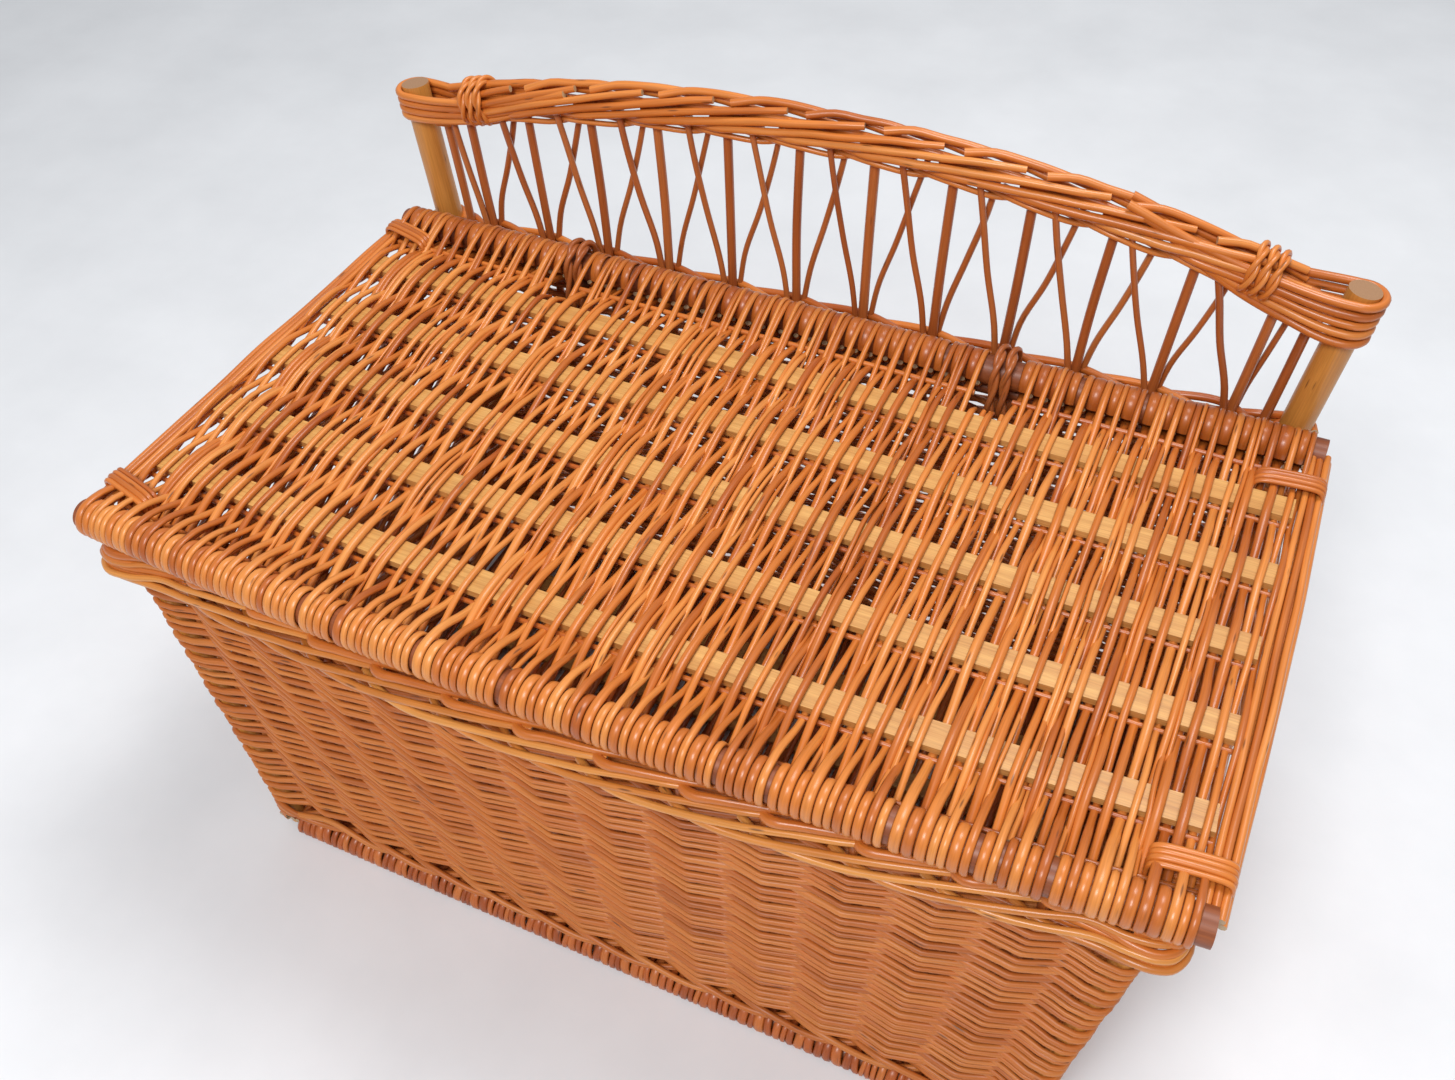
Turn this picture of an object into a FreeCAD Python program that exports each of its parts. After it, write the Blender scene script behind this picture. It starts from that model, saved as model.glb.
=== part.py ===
"""Willow storage bench: a tapered woven basket with a hinged woven lid and an arched backrest.

Millimetres, +Z up, the front faces -Y. The origin is on the floor under the middle of the bench.
"""
import FreeCAD, Part
import math
import os
from FreeCAD import Placement, Rotation, Vector

# The driving dimensions: one spreadsheet row each, with the name as the cell's alias.
SIZES = {
    # lid
    "lid_bar_half": 375, "lid_depth": 385, "lid_level": 344, "hinge_line": 182.2,
    "lid_bow": 19, "front_bow": 13, "least_bow": 1, "bar_radius": 11, "wrap_radius": 14.5, "wrap_half": 368,
    "weave_half": 366, "weave_thick": 14, "lid_slats": 5, "slat_half": 364, "slat_width": 19,
    "slat_thick": 5, "thin_radius": 2.2, "thin_beside": 13.2, "front_thin": 19, "back_thin": 34,
    "side_rod_radius": 2.8, "side_rod_first": 369.2, "side_rod_second": 375,
    "tie_thick": 3, "tie_width": 14, "tie_reach": 50,
    "front_tie_left": 27, "front_tie_right": 27, "back_tie_left": 24, "back_tie_right": 44,
    # hinges
    "left_hinge": -205, "right_hinge": 150, "loop_inner": 11.6, "loop_outer": 16.6,
    "loop_width": 11, "loop_drop": 20, "notch_width": 17, "notch_depth": 30,
    "hinge_rod_radius": 5, "hinge_rod_half": 331, "hinge_rod_setback": 4,
    # basket walls
    "stake_setback": 7, "stake_radius": 3.5, "front_stakes": 12, "side_stakes": 7,
    "stick_radius": 7, "stick_foot": 308, "stick_lean": 0.1223, "stick_low": 3,
    "collar_radius": 13.5, "collar_inset": 2, "wall_thick": 16, "wall_bottom": 38,
    "wall_top": 302, "foot_bow": 4, "wall_bow": 24, "side_bow": 6, "stake_top": 320,
    "waling_radius": 3.2, "waling_level": 22, "waling_trim_front": 12, "waling_trim_back": 22,
    "waling_trim_side": 2, "rim_radius": 3.7, "rim_level": 308.4, "rim_offset": 7.5,
    "rim_top": 325.3, "rim_overhang_front": 20, "rim_trim_back": 19, "rim_trim_side": 1,
    "rim_wrap_low": 305,
    # base
    "foot_half": 292, "foot_radius": 8.5, "foot_flat": 1, "foot_side": 303,
    "foot_side_radius": 5, "base_thick": 9, "base_slats": 4, "base_slat_inset": 3,
    # posts and backrest
    "post_radius": 11, "post_foot": 316, "post_lean": 0.1056, "post_top": 457, "post_setback": 28,
    "back_tilt": 2, "back_bow": 0.3, "upright_radius": 3.3, "uprights": 12, "upright_pitch": 55.9,
    "end_upright": 331, "upright_spread": 0.1, "upright_gap": 3,
    "rail_half": 343, "rail_level": 491, "rail_bow": 47, "rail_rod": 4.3,
    "rail_tie_at": 302, "rail_tie_radius": 18.5, "rail_tie_width": 22, "end_wrap_radius": 17,
    "end_wrap_level": 428, "end_wrap_height": 22,
    "cross_radius": 2, "cross_offset": 5.7, "cross_foot": 346, "cross_spread": 5,
    "cross_reach": 46.9, "cross_limit": 338, "foot_rod_level": 331, "foot_rod_trim": 14,
    "fit_gap": 0.3,
}

doc = FreeCAD.newDocument("willow_bench")


def fill_sheet():
    """Puts every driving dimension in the sheet, with its name beside it."""
    table = doc.addObject("Spreadsheet::Sheet", "Sizes")
    for row, (name, value) in enumerate(SIZES.items(), start=1):
        table.set(f"A{row}", name)
        table.set(f"B{row}", str(value))
        table.setAlias(f"B{row}", name)
    doc.recompute()
    return table


sheet = fill_sheet()
sub_parts = []


def size(name):
    """One driving dimension, read back from the sheet."""
    return float(sheet.get(name))


def sub_part(label, item):
    """Marks a document object as a finished sub-part, which gets a file of its own."""
    item.Label = label
    sub_parts.append(item)
    return item


def rod(name, start, end, radius):
    """A straight round rod between two points; radius is a formula on the sheet."""
    item = doc.addObject("Part::Cylinder", name)
    item.setExpression("Radius", radius)
    item.Height = (end - start).Length
    item.Placement = Placement(start, Rotation(Vector(0, 0, 1), end - start))
    return item


def bowed_rod(name, half, bow, radius, place):
    """A round rod along X whose middle stands out by bow towards -Y, as an arc of a ring.

    half, bow and radius are formulas on the sheet; place then moves the rod from the origin."""
    item = doc.addObject("Part::Torus", name)
    ring = f"(({half})^2 + ({bow})^2) / (2 * ({bow}))"
    item.setExpression("Radius1", ring)
    item.setExpression("Radius2", radius)
    item.setExpression("Angle3", f"2 * asin(({half}) / ({ring}))")
    doc.recompute([item])
    turn = 270 - item.Angle3.Value / 2
    middle = Vector(0, item.Radius1.Value - rise(item), 0)
    item.Placement = place.multiply(Placement(middle, Rotation(Vector(0, 0, 1), turn)))
    return item


def rise(ring):
    """How far the middle of an arc stands out from the chord between its ends."""
    return ring.Radius1.Value * (1 - math.cos(math.radians(ring.Angle3.Value / 2)))


def block(name, corner, length, width, height):
    """A box from its lowest corner; the three sides are formulas on the sheet."""
    item = doc.addObject("Part::Box", name)
    item.setExpression("Length", length)
    item.setExpression("Width", width)
    item.setExpression("Height", height)
    item.Placement = Placement(corner, Rotation())
    return item


def together(name, items):
    """Separate solids kept as one object."""
    item = doc.addObject("Part::Compound", name)
    item.Links = items
    return item


def fused(name, items):
    item = doc.addObject("Part::MultiFuse", name)
    item.Shapes = items
    return item


def cut(name, base, tool):
    item = doc.addObject("Part::Cut", name)
    item.Base = base
    item.Tool = tool
    return item


def tube(name, start, end, outer, inner):
    """A round tube between two points."""
    overrun = (end - start).normalize()
    outside = rod(name + "_outside", start, end, outer)
    bore = rod(name + "_bore", start - overrun, end + overrun, inner)
    return cut(name, outside, bore)


def evenly(count, low, high):
    """Evenly spread places between two ends, neither end included."""
    step = (high - low) / (count + 1)
    return [low + step * (place + 1) for place in range(int(count))]


# Each wall's outward bow at its foot and at its rim.
WALL_BOWS = {"front": ("foot_bow", "wall_bow"), "back": ("back_bow", "back_bow"),
             "left": ("foot_bow", "side_bow"), "right": ("foot_bow", "side_bow")}

# Places that several sub-parts share.
HINGE = Vector(0, size("hinge_line"), size("lid_level"))
FRONT_BAR = HINGE - Vector(0, size("lid_depth"), 0)
FRONT_LINE = FRONT_BAR.y + size("stake_setback")
TILT = math.radians(size("back_tilt"))
BACK_FOOT = HINGE.y + size("post_setback") - size("lid_level") * math.tan(TILT)
BACK = Placement(Vector(0, BACK_FOOT, 0), Rotation(Vector(1, 0, 0), -size("back_tilt")))


def front_corner(side, height):
    """The axis of a front corner stick at a height."""
    return Vector(side * (size("stick_foot") + size("stick_lean") * height), FRONT_LINE, height)


def back_corner(side, height):
    """The axis of a back post at a height along the leaning back."""
    return BACK.multVec(Vector(side * (size("post_foot") + size("post_lean") * height), 0, height))


# ---------------------------------------------------------------- woven walls

def outline(start, end, bow, thick):
    """The closed outline of a wall at one height: two bowed lines a wall's thickness apart."""
    along = (end - start).normalize()
    outward = along.cross(Vector(0, 0, 1)).normalize()
    half = outward * (thick / 2)
    middle = (start + end) * 0.5 + outward * bow
    outer = Part.Arc(start + half, middle + half, end + half).toShape()
    inner = Part.Arc(start - half, middle - half, end - half).toShape()
    sides = [Part.makeLine(start - half, start + half), Part.makeLine(end - half, end + half)]
    return Part.Wire(Part.__sortEdges__([outer, inner] + sides))


def wall_slab(name, corners, bows):
    """A wall between two leaning corners: corners gives its two ends at a height."""
    sections = []
    for level, bow in zip(("wall_bottom", "wall_top"), bows):
        start, end = corners(size(level))
        section = doc.addObject("Part::Feature", f"{name}_{level}")
        section.Shape = outline(start, end, size(bow), size("wall_thick"))
        sections.append(section)
    slab = doc.addObject("Part::Loft", name + "_slab")
    slab.Sections = sections
    slab.Solid = True
    slab.Ruled = True
    return slab


def bowed_point(start, end, share, bow):
    """A point on the bowed line between two corners, share of the way along it."""
    along = end - start
    outward = along.cross(Vector(0, 0, 1)).normalize()
    return start + along * share + outward * (bow * (1 - (2 * share - 1) ** 2))


def bow_between(bows, height):
    """A wall's bow at a height, from its bows at the foot and at the rim."""
    low, high = size("wall_bottom"), size("wall_top")
    share = (height - low) / (high - low)
    return size(bows[0]) + share * (size(bows[1]) - size(bows[0]))


def stake_ends(corners, shares, bows, low, high):
    """The two ends of each stake of a wall, from height low to height high."""
    ends = []
    for share in shares:
        pair = []
        for height in (low, high):
            start, end = corners(height)
            pair.append(bowed_point(start, end, share, bow_between(bows, height)))
        ends.append(pair)
    return ends


def stakes(name, ends, radius="Sizes.stake_radius"):
    """A round stake between each pair of ends."""
    return [rod(f"{name}_{number}", low, high, radius)
            for number, (low, high) in enumerate(ends, start=1)]


def wall(label, slab, stake_list, collars=(), sticks=()):
    """Cuts a wall's slab, with its corner collars, round the stakes and sticks it is woven on."""
    body = fused(label + "_body", [slab, *collars]) if collars else slab
    holes = [rod(f"{label}_hole_{number}", start, end, "Sizes.stake_radius + Sizes.fit_gap / 3")
             for number, (start, end) in enumerate(stake_list, start=1)]
    return sub_part(label, cut(label, body, together(label + "_holes", holes + list(sticks))))


# ---------------------------------------------------------------- the base

def base():
    """The floor panel: two wrapped foot bars, side bars, flat slats and the weave on them."""
    radius, half = size("foot_radius"), size("foot_half")
    level = radius - size("foot_flat")
    front, back = FRONT_LINE, BACK_FOOT
    for label, line in (("base_front_bar", front), ("base_back_bar", back)):
        start, end = Vector(-half, line, level), Vector(half, line, level)
        bar = rod(label + "_round", start, end, "Sizes.foot_radius")
        worn = block(label + "_worn", Vector(-half, line - radius, -radius), "2 * Sizes.foot_half",
                     "2 * Sizes.foot_radius", "Sizes.foot_radius")
        sub_part(label, cut(label, bar, worn))
    side_low = front + radius + size("fit_gap")
    side_high = back - radius - size("fit_gap")
    for label, side in (("base_side_bar_left", -1), ("base_side_bar_right", 1)):
        x = side * size("foot_side")
        start = Vector(x, side_low, level)
        sub_part(label, rod(label, start, Vector(x, side_high, level), "Sizes.foot_side_radius"))
    depth = side_high - side_low
    half = size("foot_side") - size("foot_side_radius") - size("fit_gap")
    thick = size("base_thick")
    slat_half = half - size("base_slat_inset")
    slats, slots = [], []
    for number, y in enumerate(evenly(size("base_slats"), side_low, side_high), start=1):
        corner = Vector(-slat_half, y - size("slat_width") / 2, level - size("slat_thick") / 2)
        sides = (f"{2 * slat_half}", "Sizes.slat_width", "Sizes.slat_thick")
        slats.append(block(f"base_slat_{number}", corner, *sides))
        slots.append(block(f"base_slot_{number}", corner, *sides))
    sub_part("base_slats", together("base_slats", slats))
    corner = Vector(-half, side_low, level - thick / 2)
    panel = block("base_panel", corner, f"{2 * half}", f"{depth}", "Sizes.base_thick")
    sub_part("base_weave", cut("base_weave", panel, together("base_slots", slots)))


# ---------------------------------------------------------------- the basket

def corners_of(wall_name):
    """For a named wall, its two ends at a height, kept clear of its neighbours' collars."""
    collar = size("collar_radius") + size("fit_gap")
    post_collar = size("end_wrap_radius") + size("fit_gap")

    def front(height):
        return front_corner(-1, height), front_corner(1, height)

    def back(height):
        return back_corner(1, height), back_corner(-1, height)

    def side(hand, height):
        low, high = front_corner(hand, height), back_corner(hand, height)
        along = (high - low).normalize()
        ends = low + along * collar, high - along * post_collar
        return ends if hand > 0 else ends[::-1]

    if wall_name == "front":
        return front
    if wall_name == "back":
        return back
    hand = 1 if wall_name == "right" else -1
    return lambda height: side(hand, height)


def corner_collars(name, corner, radius):
    """The weave's turn round each corner's upright."""
    inset = size("collar_inset")
    low, high = size("wall_bottom") + inset, size("wall_top") - inset
    return [rod(f"{name}_collar_{side + 1}", corner(side, low), corner(side, high), radius)
            for side in (-1, 1)]


def corner_holes(name, corner, radius):
    """The holes in a wall's collars for the uprights at its two corners."""
    return [rod(f"{name}_stick_hole_{side + 1}", corner(side, 0), corner(side, size("post_top")), radius)
            for side in (-1, 1)]


def foot_top():
    """The height of the top of the wrapped foot bars, where the stakes start."""
    return 2 * size("foot_radius") - size("foot_flat") + size("fit_gap")


def corner_uprights():
    """The two front corner sticks and the two tall back posts."""
    low = size("stick_low")
    for side, hand in (("left", -1), ("right", 1)):
        label = f"corner_stick_{side}"
        top = front_corner(hand, size("wall_top"))
        sub_part(label, rod(label, front_corner(hand, low), top, "Sizes.stick_radius"))
        label = f"back_post_{side}"
        top = back_corner(hand, size("post_top"))
        sub_part(label, rod(label, back_corner(hand, low), top, "Sizes.post_radius"))


def walls():
    """The front and the two side walls, each a slab of weave on its stakes."""
    for name, bows in WALL_BOWS.items():
        if name == "back":
            continue
        count = size("front_stakes") if name == "front" else size("side_stakes")
        corners = corners_of(name)
        ends = stake_ends(corners, evenly(count, 0, 1), bows, foot_top(), size("stake_top"))
        label = f"{name}_stakes"
        sub_part(label, together(label, stakes(label, ends)))
        collars, sticks = [], []
        if name == "front":
            collars = corner_collars(name, front_corner, "Sizes.collar_radius")
            sticks = corner_holes(name, front_corner, "Sizes.stick_radius + Sizes.fit_gap / 3")
        wall(f"{name}_wall_weave", wall_slab(name, corners, bows), ends, collars, sticks)


def upright_places():
    """The places along X of the backrest's uprights, which are the back wall's stakes."""
    pitch = size("upright_pitch")
    count = int(size("uprights"))
    first = -pitch * (count - 1) / 2
    inner = [first + pitch * number for number in range(count)]
    return [-size("end_upright"), *inner, size("end_upright")]


def rail_drop(x):
    """How far the arched rail's middle line lies under its top at a place along X."""
    half, bow = size("rail_half"), size("rail_bow")
    ring = (half ** 2 + bow ** 2) / (2 * bow)
    return ring - math.sqrt(ring ** 2 - x ** 2)


def rail_radius():
    """The radius of the rail's round bundle: one rod in the middle and six round it."""
    return 3 * size("rail_rod") + size("fit_gap")


def upright_ends():
    """Each upright runs from the foot up to the underside of the rail, spreading as it rises."""
    low, lid_level, fan = foot_top(), size("lid_level"), size("upright_spread")
    ends = []
    for x in upright_places():
        pair = []
        for height in (low, size("rail_level") - rail_drop(x) - rail_radius() - size("upright_gap")):
            spread = 1 + fan * (height - lid_level) / lid_level
            pair.append(BACK.multVec(Vector(x * spread, 0, height)))
        ends.append(pair)
    return ends


def back_wall():
    """The leaning back wall, whose stakes go on up as the backrest's uprights."""
    ends = upright_ends()
    label = "back_uprights"
    sub_part(label, together(label, stakes(label, ends, "Sizes.upright_radius")))
    collars = corner_collars("back", back_corner, "Sizes.end_wrap_radius")
    posts = corner_holes("back", back_corner, "Sizes.post_radius + Sizes.fit_gap / 3")
    slab = wall_slab("back", corners_of("back"), WALL_BOWS["back"])
    wall("back_wall_weave", slab, ends, collars, posts)


def wall_rods(name, wall_name, offsets, radius, trim):
    """Long rods that follow a wall: offsets are pairs of distance outward and height.

    trim shortens each rod at both ends; below zero it makes the rods run past the corners."""
    rods = []
    for number, (outward, height) in enumerate(offsets, start=1):
        start, end = corners_of(wall_name)(height)
        along = (end - start).normalize()
        side = along.cross(Vector(0, 0, 1)).normalize()
        label = f"{name}_{number}"
        if wall_name == "back":
            shift = side * outward
            rods.append(rod(label, start + shift + along * trim, end + shift - along * trim, radius))
            continue
        wall_half = (end - start).Length / 2
        share = ((wall_half - trim) / wall_half) ** 2
        bow = bow_between(WALL_BOWS[wall_name], height)
        middle = (start + end) * 0.5 + side * (outward + bow * (1 - share))
        place = Placement(middle, Rotation(Vector(1, 0, 0), along))
        rods.append(bowed_rod(label, f"{wall_half - trim}", f"{bow * share}", radius, place))
    return rods


def walings():
    """Three thicker rods at the foot of each wall, two outside the stakes and one inside."""
    level, step = size("waling_level"), 2 * size("waling_radius") + size("fit_gap")
    for name in WALL_BOWS:
        stake = size("upright_radius") if name == "back" else size("stake_radius")
        beside = stake + size("waling_radius") + size("fit_gap")
        offsets = [(beside, level), (beside, level + step), (-beside, level + step / 2)]
        trim = size(f"waling_trim_{name}") if name in ("front", "back") else size("waling_trim_side")
        rods = wall_rods(f"waling_{name}", name, offsets, "Sizes.waling_radius", trim)
        sub_part(f"waling_{name}", together(f"waling_{name}", rods))


def rim():
    """The rolled border: long rods outside, inside and over the ends of the stakes."""
    beside, level, top = size("rim_offset"), size("rim_level"), size("rim_top")
    step = 2 * size("rim_radius") + size("fit_gap")
    rolled = [(beside, level), (beside, level + step), (-beside, level + step / 2),
              (beside / 2, top), (-beside / 2, top)]
    stacked = [(beside, level), (beside, level + step), (beside, level + 2 * step)]
    trims = {"front": -size("rim_overhang_front"), "back": size("rim_trim_back"),
             "left": size("rim_trim_side"), "right": size("rim_trim_side")}
    for name, trim in trims.items():
        label = f"rim_border_{name}"
        offsets = stacked if name == "back" else rolled
        sub_part(label, together(label, wall_rods(label, name, offsets, "Sizes.rim_radius", trim)))
    for side, hand in (("left", -1), ("right", 1)):
        label = f"rim_wrap_{side}"
        low, high = back_corner(hand, size("rim_wrap_low")), back_corner(hand, size("rim_top"))
        sub_part(label, tube(label, low, high, "Sizes.end_wrap_radius",
                             "Sizes.post_radius + Sizes.fit_gap / 3"))


def hinge_rod():
    """The straight rod under the lid's back bar that the hinge loops go round."""
    half = Vector(size("hinge_rod_half"), 0, 0)
    middle = HINGE + Vector(0, size("hinge_rod_setback"), -size("loop_drop"))
    sub_part("rim_hinge_rod", rod("rim_hinge_rod", middle - half, middle + half,
                                  "Sizes.hinge_rod_radius"))


# ---------------------------------------------------------------- the backrest

def on_rail(x):
    """A point on the rail's middle line, on the leaning back."""
    return BACK.multVec(Vector(x, 0, size("rail_level") - rail_drop(x)))


def rail_rods():
    """Seven rods side by side in a round bundle, each an arc over the uprights."""
    step = 2 * size("rail_rod") + size("fit_gap")
    places = [(0.0, 0.0)] + [(step * math.cos(math.radians(60 * turn)),
                              step * math.sin(math.radians(60 * turn))) for turn in range(6)]
    upright = Rotation(Vector(1, 0, 0), -90)
    rods = []
    for number, (across, up) in enumerate(places, start=1):
        place = Placement(Vector(0, across, size("rail_level") + up - size("rail_bow")), upright)
        rods.append(bowed_rod(f"rail_rod_{number}", "Sizes.rail_half", "Sizes.rail_bow",
                              "Sizes.rail_rod", BACK.multiply(place)))
    sub_part("backrest_rail", together("backrest_rail", rods))


def rail_ties():
    """The willow lashings round the rail, and the rail's turns round each post's head."""
    half_width = size("rail_tie_width") / 2
    round_post = "Sizes.post_radius + Sizes.fit_gap / 3"
    for side, hand in (("left", -1), ("right", 1)):
        middle = on_rail(hand * size("rail_tie_at"))
        reach = hand * (size("rail_tie_at") + half_width)
        along = (on_rail(reach) - middle).normalize() * half_width
        label = f"rail_tie_{side}"
        sub_part(label, tube(label, middle - along, middle + along, "Sizes.rail_tie_radius",
                             "3 * Sizes.rail_rod + 2 * Sizes.fit_gap"))
        label = f"rail_end_wrap_{side}"
        level = size("end_wrap_level")
        low, high = back_corner(hand, level), back_corner(hand, level + size("end_wrap_height"))
        sub_part(label, tube(label, low, high, "Sizes.end_wrap_radius", round_post))


def cross_rods():
    """Thin rods that lean from the foot of one upright to the head of the next, both ways."""
    foot, offset, limit = size("cross_foot"), size("cross_offset"), size("cross_limit")
    under_rail = size("rail_tie_radius") + 2 * size("fit_gap")
    rods = []
    for side, hand in (("left", -1), ("right", 1)):
        for number, x in enumerate(upright_places()[1:-1], start=1):
            head = max(-limit, min(limit, x + hand * size("cross_reach")))
            high = size("rail_level") - rail_drop(head) - under_rail
            start = BACK.multVec(Vector(x + hand * size("cross_spread"), hand * offset, foot))
            end = BACK.multVec(Vector(head, hand * offset, high))
            rods.append(rod(f"cross_{side}_{number}", start, end, "Sizes.cross_radius"))
    sub_part("backrest_cross_rods", together("backrest_cross_rods", rods))


def foot_rods():
    """Two long rods behind the uprights, just over the rim."""
    behind = size("upright_radius") + size("waling_radius") + size("fit_gap")
    step = 2 * size("waling_radius") + size("fit_gap")
    level = size("foot_rod_level")
    offsets = [(behind, level), (behind, level + step)]
    rods = wall_rods("foot_rod", "back", offsets, "Sizes.waling_radius", size("foot_rod_trim"))
    sub_part("backrest_foot_rods", together("backrest_foot_rods", rods))


# ---------------------------------------------------------------- the hinges

def stadium(name, x, radius, overrun):
    """A long round-ended outline round the lid's back bar and the hinge rod, as a solid."""
    half = size("loop_width") / 2 + overrun
    drop = Vector(0, 0, -size("loop_drop"))
    left, right = HINGE + Vector(x - half, 0, 0), HINGE + Vector(x + half, 0, 0)
    corner = left + drop - Vector(0, size(radius), 0)
    ends = [rod(name + "_high", left, right, f"Sizes.{radius}"),
            rod(name + "_low", left + drop, right + drop, f"Sizes.{radius}")]
    middle = block(name + "_middle", corner, f"{2 * half}", f"2 * Sizes.{radius}", "Sizes.loop_drop")
    return fused(name, ends + [middle])


def hinge_loops():
    """The two willow loops that tie the lid's back bar to the basket and let it turn."""
    for side in ("left", "right"):
        label = f"hinge_loop_{side}"
        x = size(f"{side}_hinge")
        outside = stadium(label + "_outside", x, "loop_outer", 0)
        inside = stadium(label + "_inside", x, "loop_inner", 1)
        sub_part(label, cut(label, outside, inside))


# ---------------------------------------------------------------- the lid

def bow_at(distance):
    """The forward bow of a rod across the lid: the front bar's, fading towards the hinge."""
    share = distance / size("lid_depth")
    return min(max(size("lid_bow") * share ** 2, size("least_bow")), size("front_bow"))


def lid_bars():
    """The two round sticks at the front and back of the lid; the back one is the hinge's pin."""
    front = bowed_rod("lid_front_bar", "Sizes.lid_bar_half", "Sizes.front_bow", "Sizes.bar_radius",
                      Placement(FRONT_BAR, Rotation()))
    sub_part("lid_front_bar", front)
    half = Vector(size("lid_bar_half"), 0, 0)
    sub_part("lid_back_bar", rod("lid_back_bar", HINGE - half, HINGE + half, "Sizes.bar_radius"))


def lid_wraps():
    """The weavers' turns round the two bars, left out where the hinge loops go."""
    share = size("wrap_half") / size("lid_bar_half")
    bow = size("front_bow") * share ** 2
    inset = Vector(0, size("front_bow") - bow, 0)
    skin = bowed_rod("front_wrap_skin", "Sizes.wrap_half", f"{bow}", "Sizes.wrap_radius",
                     Placement(FRONT_BAR - inset, Rotation()))
    bore = bowed_rod("front_wrap_bore", "Sizes.lid_bar_half", "Sizes.front_bow",
                     "Sizes.bar_radius + Sizes.fit_gap / 3", Placement(FRONT_BAR, Rotation()))
    sub_part("lid_front_wraps", cut("lid_front_wraps", skin, bore))
    clear = size("notch_width") / 2
    end = size("wrap_half")
    stretches = [(-end, size("left_hinge") - clear),
                 (size("left_hinge") + clear, size("right_hinge") - clear),
                 (size("right_hinge") + clear, end)]
    pieces = [tube(f"back_wrap_{number}", HINGE + Vector(low, 0, 0), HINGE + Vector(high, 0, 0),
                   "Sizes.wrap_radius", "Sizes.bar_radius + Sizes.fit_gap / 3")
              for number, (low, high) in enumerate(stretches, start=1)]
    sub_part("lid_back_wraps", together("lid_back_wraps", pieces))


def slat_strip(name, distance, grow):
    """A flat strip across the lid, bowed in plan: what lies between two round edges."""
    bow = bow_at(distance)
    half = size("slat_half") + grow
    ring = (half ** 2 + bow ** 2) / (2 * bow)
    angle = math.degrees(math.asin(half / ring))
    low = size("lid_level") - size("slat_thick") / 2 - grow
    edges = []
    for edge, radius in (("outer", f"{ring} + Sizes.slat_width / 2 + {grow}"),
                         ("inner", f"{ring} - Sizes.slat_width / 2 - {grow}")):
        sector = doc.addObject("Part::Cylinder", f"{name}_{edge}")
        sector.setExpression("Radius", radius)
        sector.setExpression("Height", f"Sizes.slat_thick + 2 * {grow}")
        sector.Angle = 2 * angle
        centre = Vector(0, HINGE.y - distance - bow + ring, low)
        sector.Placement = Placement(centre, Rotation(Vector(0, 0, 1), 270 - angle))
        edges.append(sector)
    return cut(name, *edges)


def thin_rod(name, distance, radius="Sizes.thin_radius"):
    """A thin bowed rod across the lid."""
    bow = bow_at(distance)
    place = Placement(HINGE - Vector(0, distance, 0), Rotation())
    return bowed_rod(name, "Sizes.slat_half", f"{bow}", radius, place)


def slat_distances():
    """How far each slat lies in front of the hinge: evenly between the two bars."""
    return evenly(size("lid_slats"), size("lid_depth"), 0)


def lid_panel():
    """The flat slats, the thin rods beside them and the weave that holds them."""
    distances = slat_distances()
    slots, thin, thin_slots = [], [], []
    for number, distance in enumerate(distances, start=1):
        label = f"lid_slat_{number}"
        sub_part(label, slat_strip(label, distance, 0.0))
        slots.append(slat_strip(f"slat_slot_{number}", distance, size("fit_gap") / 3))
    thin_places = [distance + size("thin_beside") for distance in distances]
    thin_places += [size("lid_depth") - size("front_thin"), size("back_thin")]
    for number, distance in enumerate(thin_places, start=1):
        thin.append(thin_rod(f"thin_rod_{number}", distance))
        thin_slots.append(thin_rod(f"thin_slot_{number}", distance,
                                   "Sizes.thin_radius + Sizes.fit_gap / 3"))
    sub_part("lid_thin_rods", together("lid_thin_rods", thin))
    sub_part("lid_weave", lid_weave(slots + thin_slots))


def lid_weave(slots):
    """The woven sheet between the bars, rounded in front, open for the loops and lashings."""
    clear = size("wrap_radius") + size("fit_gap")
    half, bow = size("lid_bar_half"), size("front_bow")
    ring = (half ** 2 + bow ** 2) / (2 * bow)
    thick = size("weave_thick")
    low = size("lid_level") - thick / 2
    corner = Vector(-size("weave_half"), FRONT_BAR.y - bow, low)
    sheet_depth = size("lid_depth") + bow - clear
    full = block("weave_block", corner, "2 * Sizes.weave_half", f"{sheet_depth}", "Sizes.weave_thick")
    disc = doc.addObject("Part::Cylinder", "weave_disc")
    disc.Radius = ring - clear
    disc.setExpression("Height", "Sizes.weave_thick")
    disc.Placement = Placement(Vector(0, FRONT_BAR.y - bow + ring, low), Rotation())
    rounded = doc.addObject("Part::Common", "weave_rounded")
    rounded.Base = full
    rounded.Tool = disc
    notches = []
    for side in ("left", "right"):
        corner = HINGE + Vector(size(f"{side}_hinge") - size("notch_width") / 2,
                                -size("notch_depth"), -thick)
        notches.append(block(f"notch_{side}", corner, "Sizes.notch_width", "Sizes.notch_depth",
                             "2 * Sizes.weave_thick"))
    for label, hand, y in tie_places():
        corner, width = tie_span(hand, y, size("fit_gap"))
        leg = corner.x - size("tie_thick") if hand > 0 else corner.x + size("tie_reach")
        inner_leg = Vector(leg - size("fit_gap"), corner.y, low - thick)
        notches.append(block(label + "_slot", inner_leg, "Sizes.tie_thick + 2 * Sizes.fit_gap",
                             width, "3 * Sizes.weave_thick"))
    return cut("lid_weave", rounded, together("weave_openings", slots + notches))


def tie_places():
    """Each corner lashing's name, its side and its middle along Y."""
    places = []
    for side, hand in (("left", -1), ("right", 1)):
        places.append((f"lid_tie_front_{side}", hand, FRONT_BAR.y + size(f"front_tie_{side}")))
        places.append((f"lid_tie_back_{side}", hand, HINGE.y - size(f"back_tie_{side}")))
    return places


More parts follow.
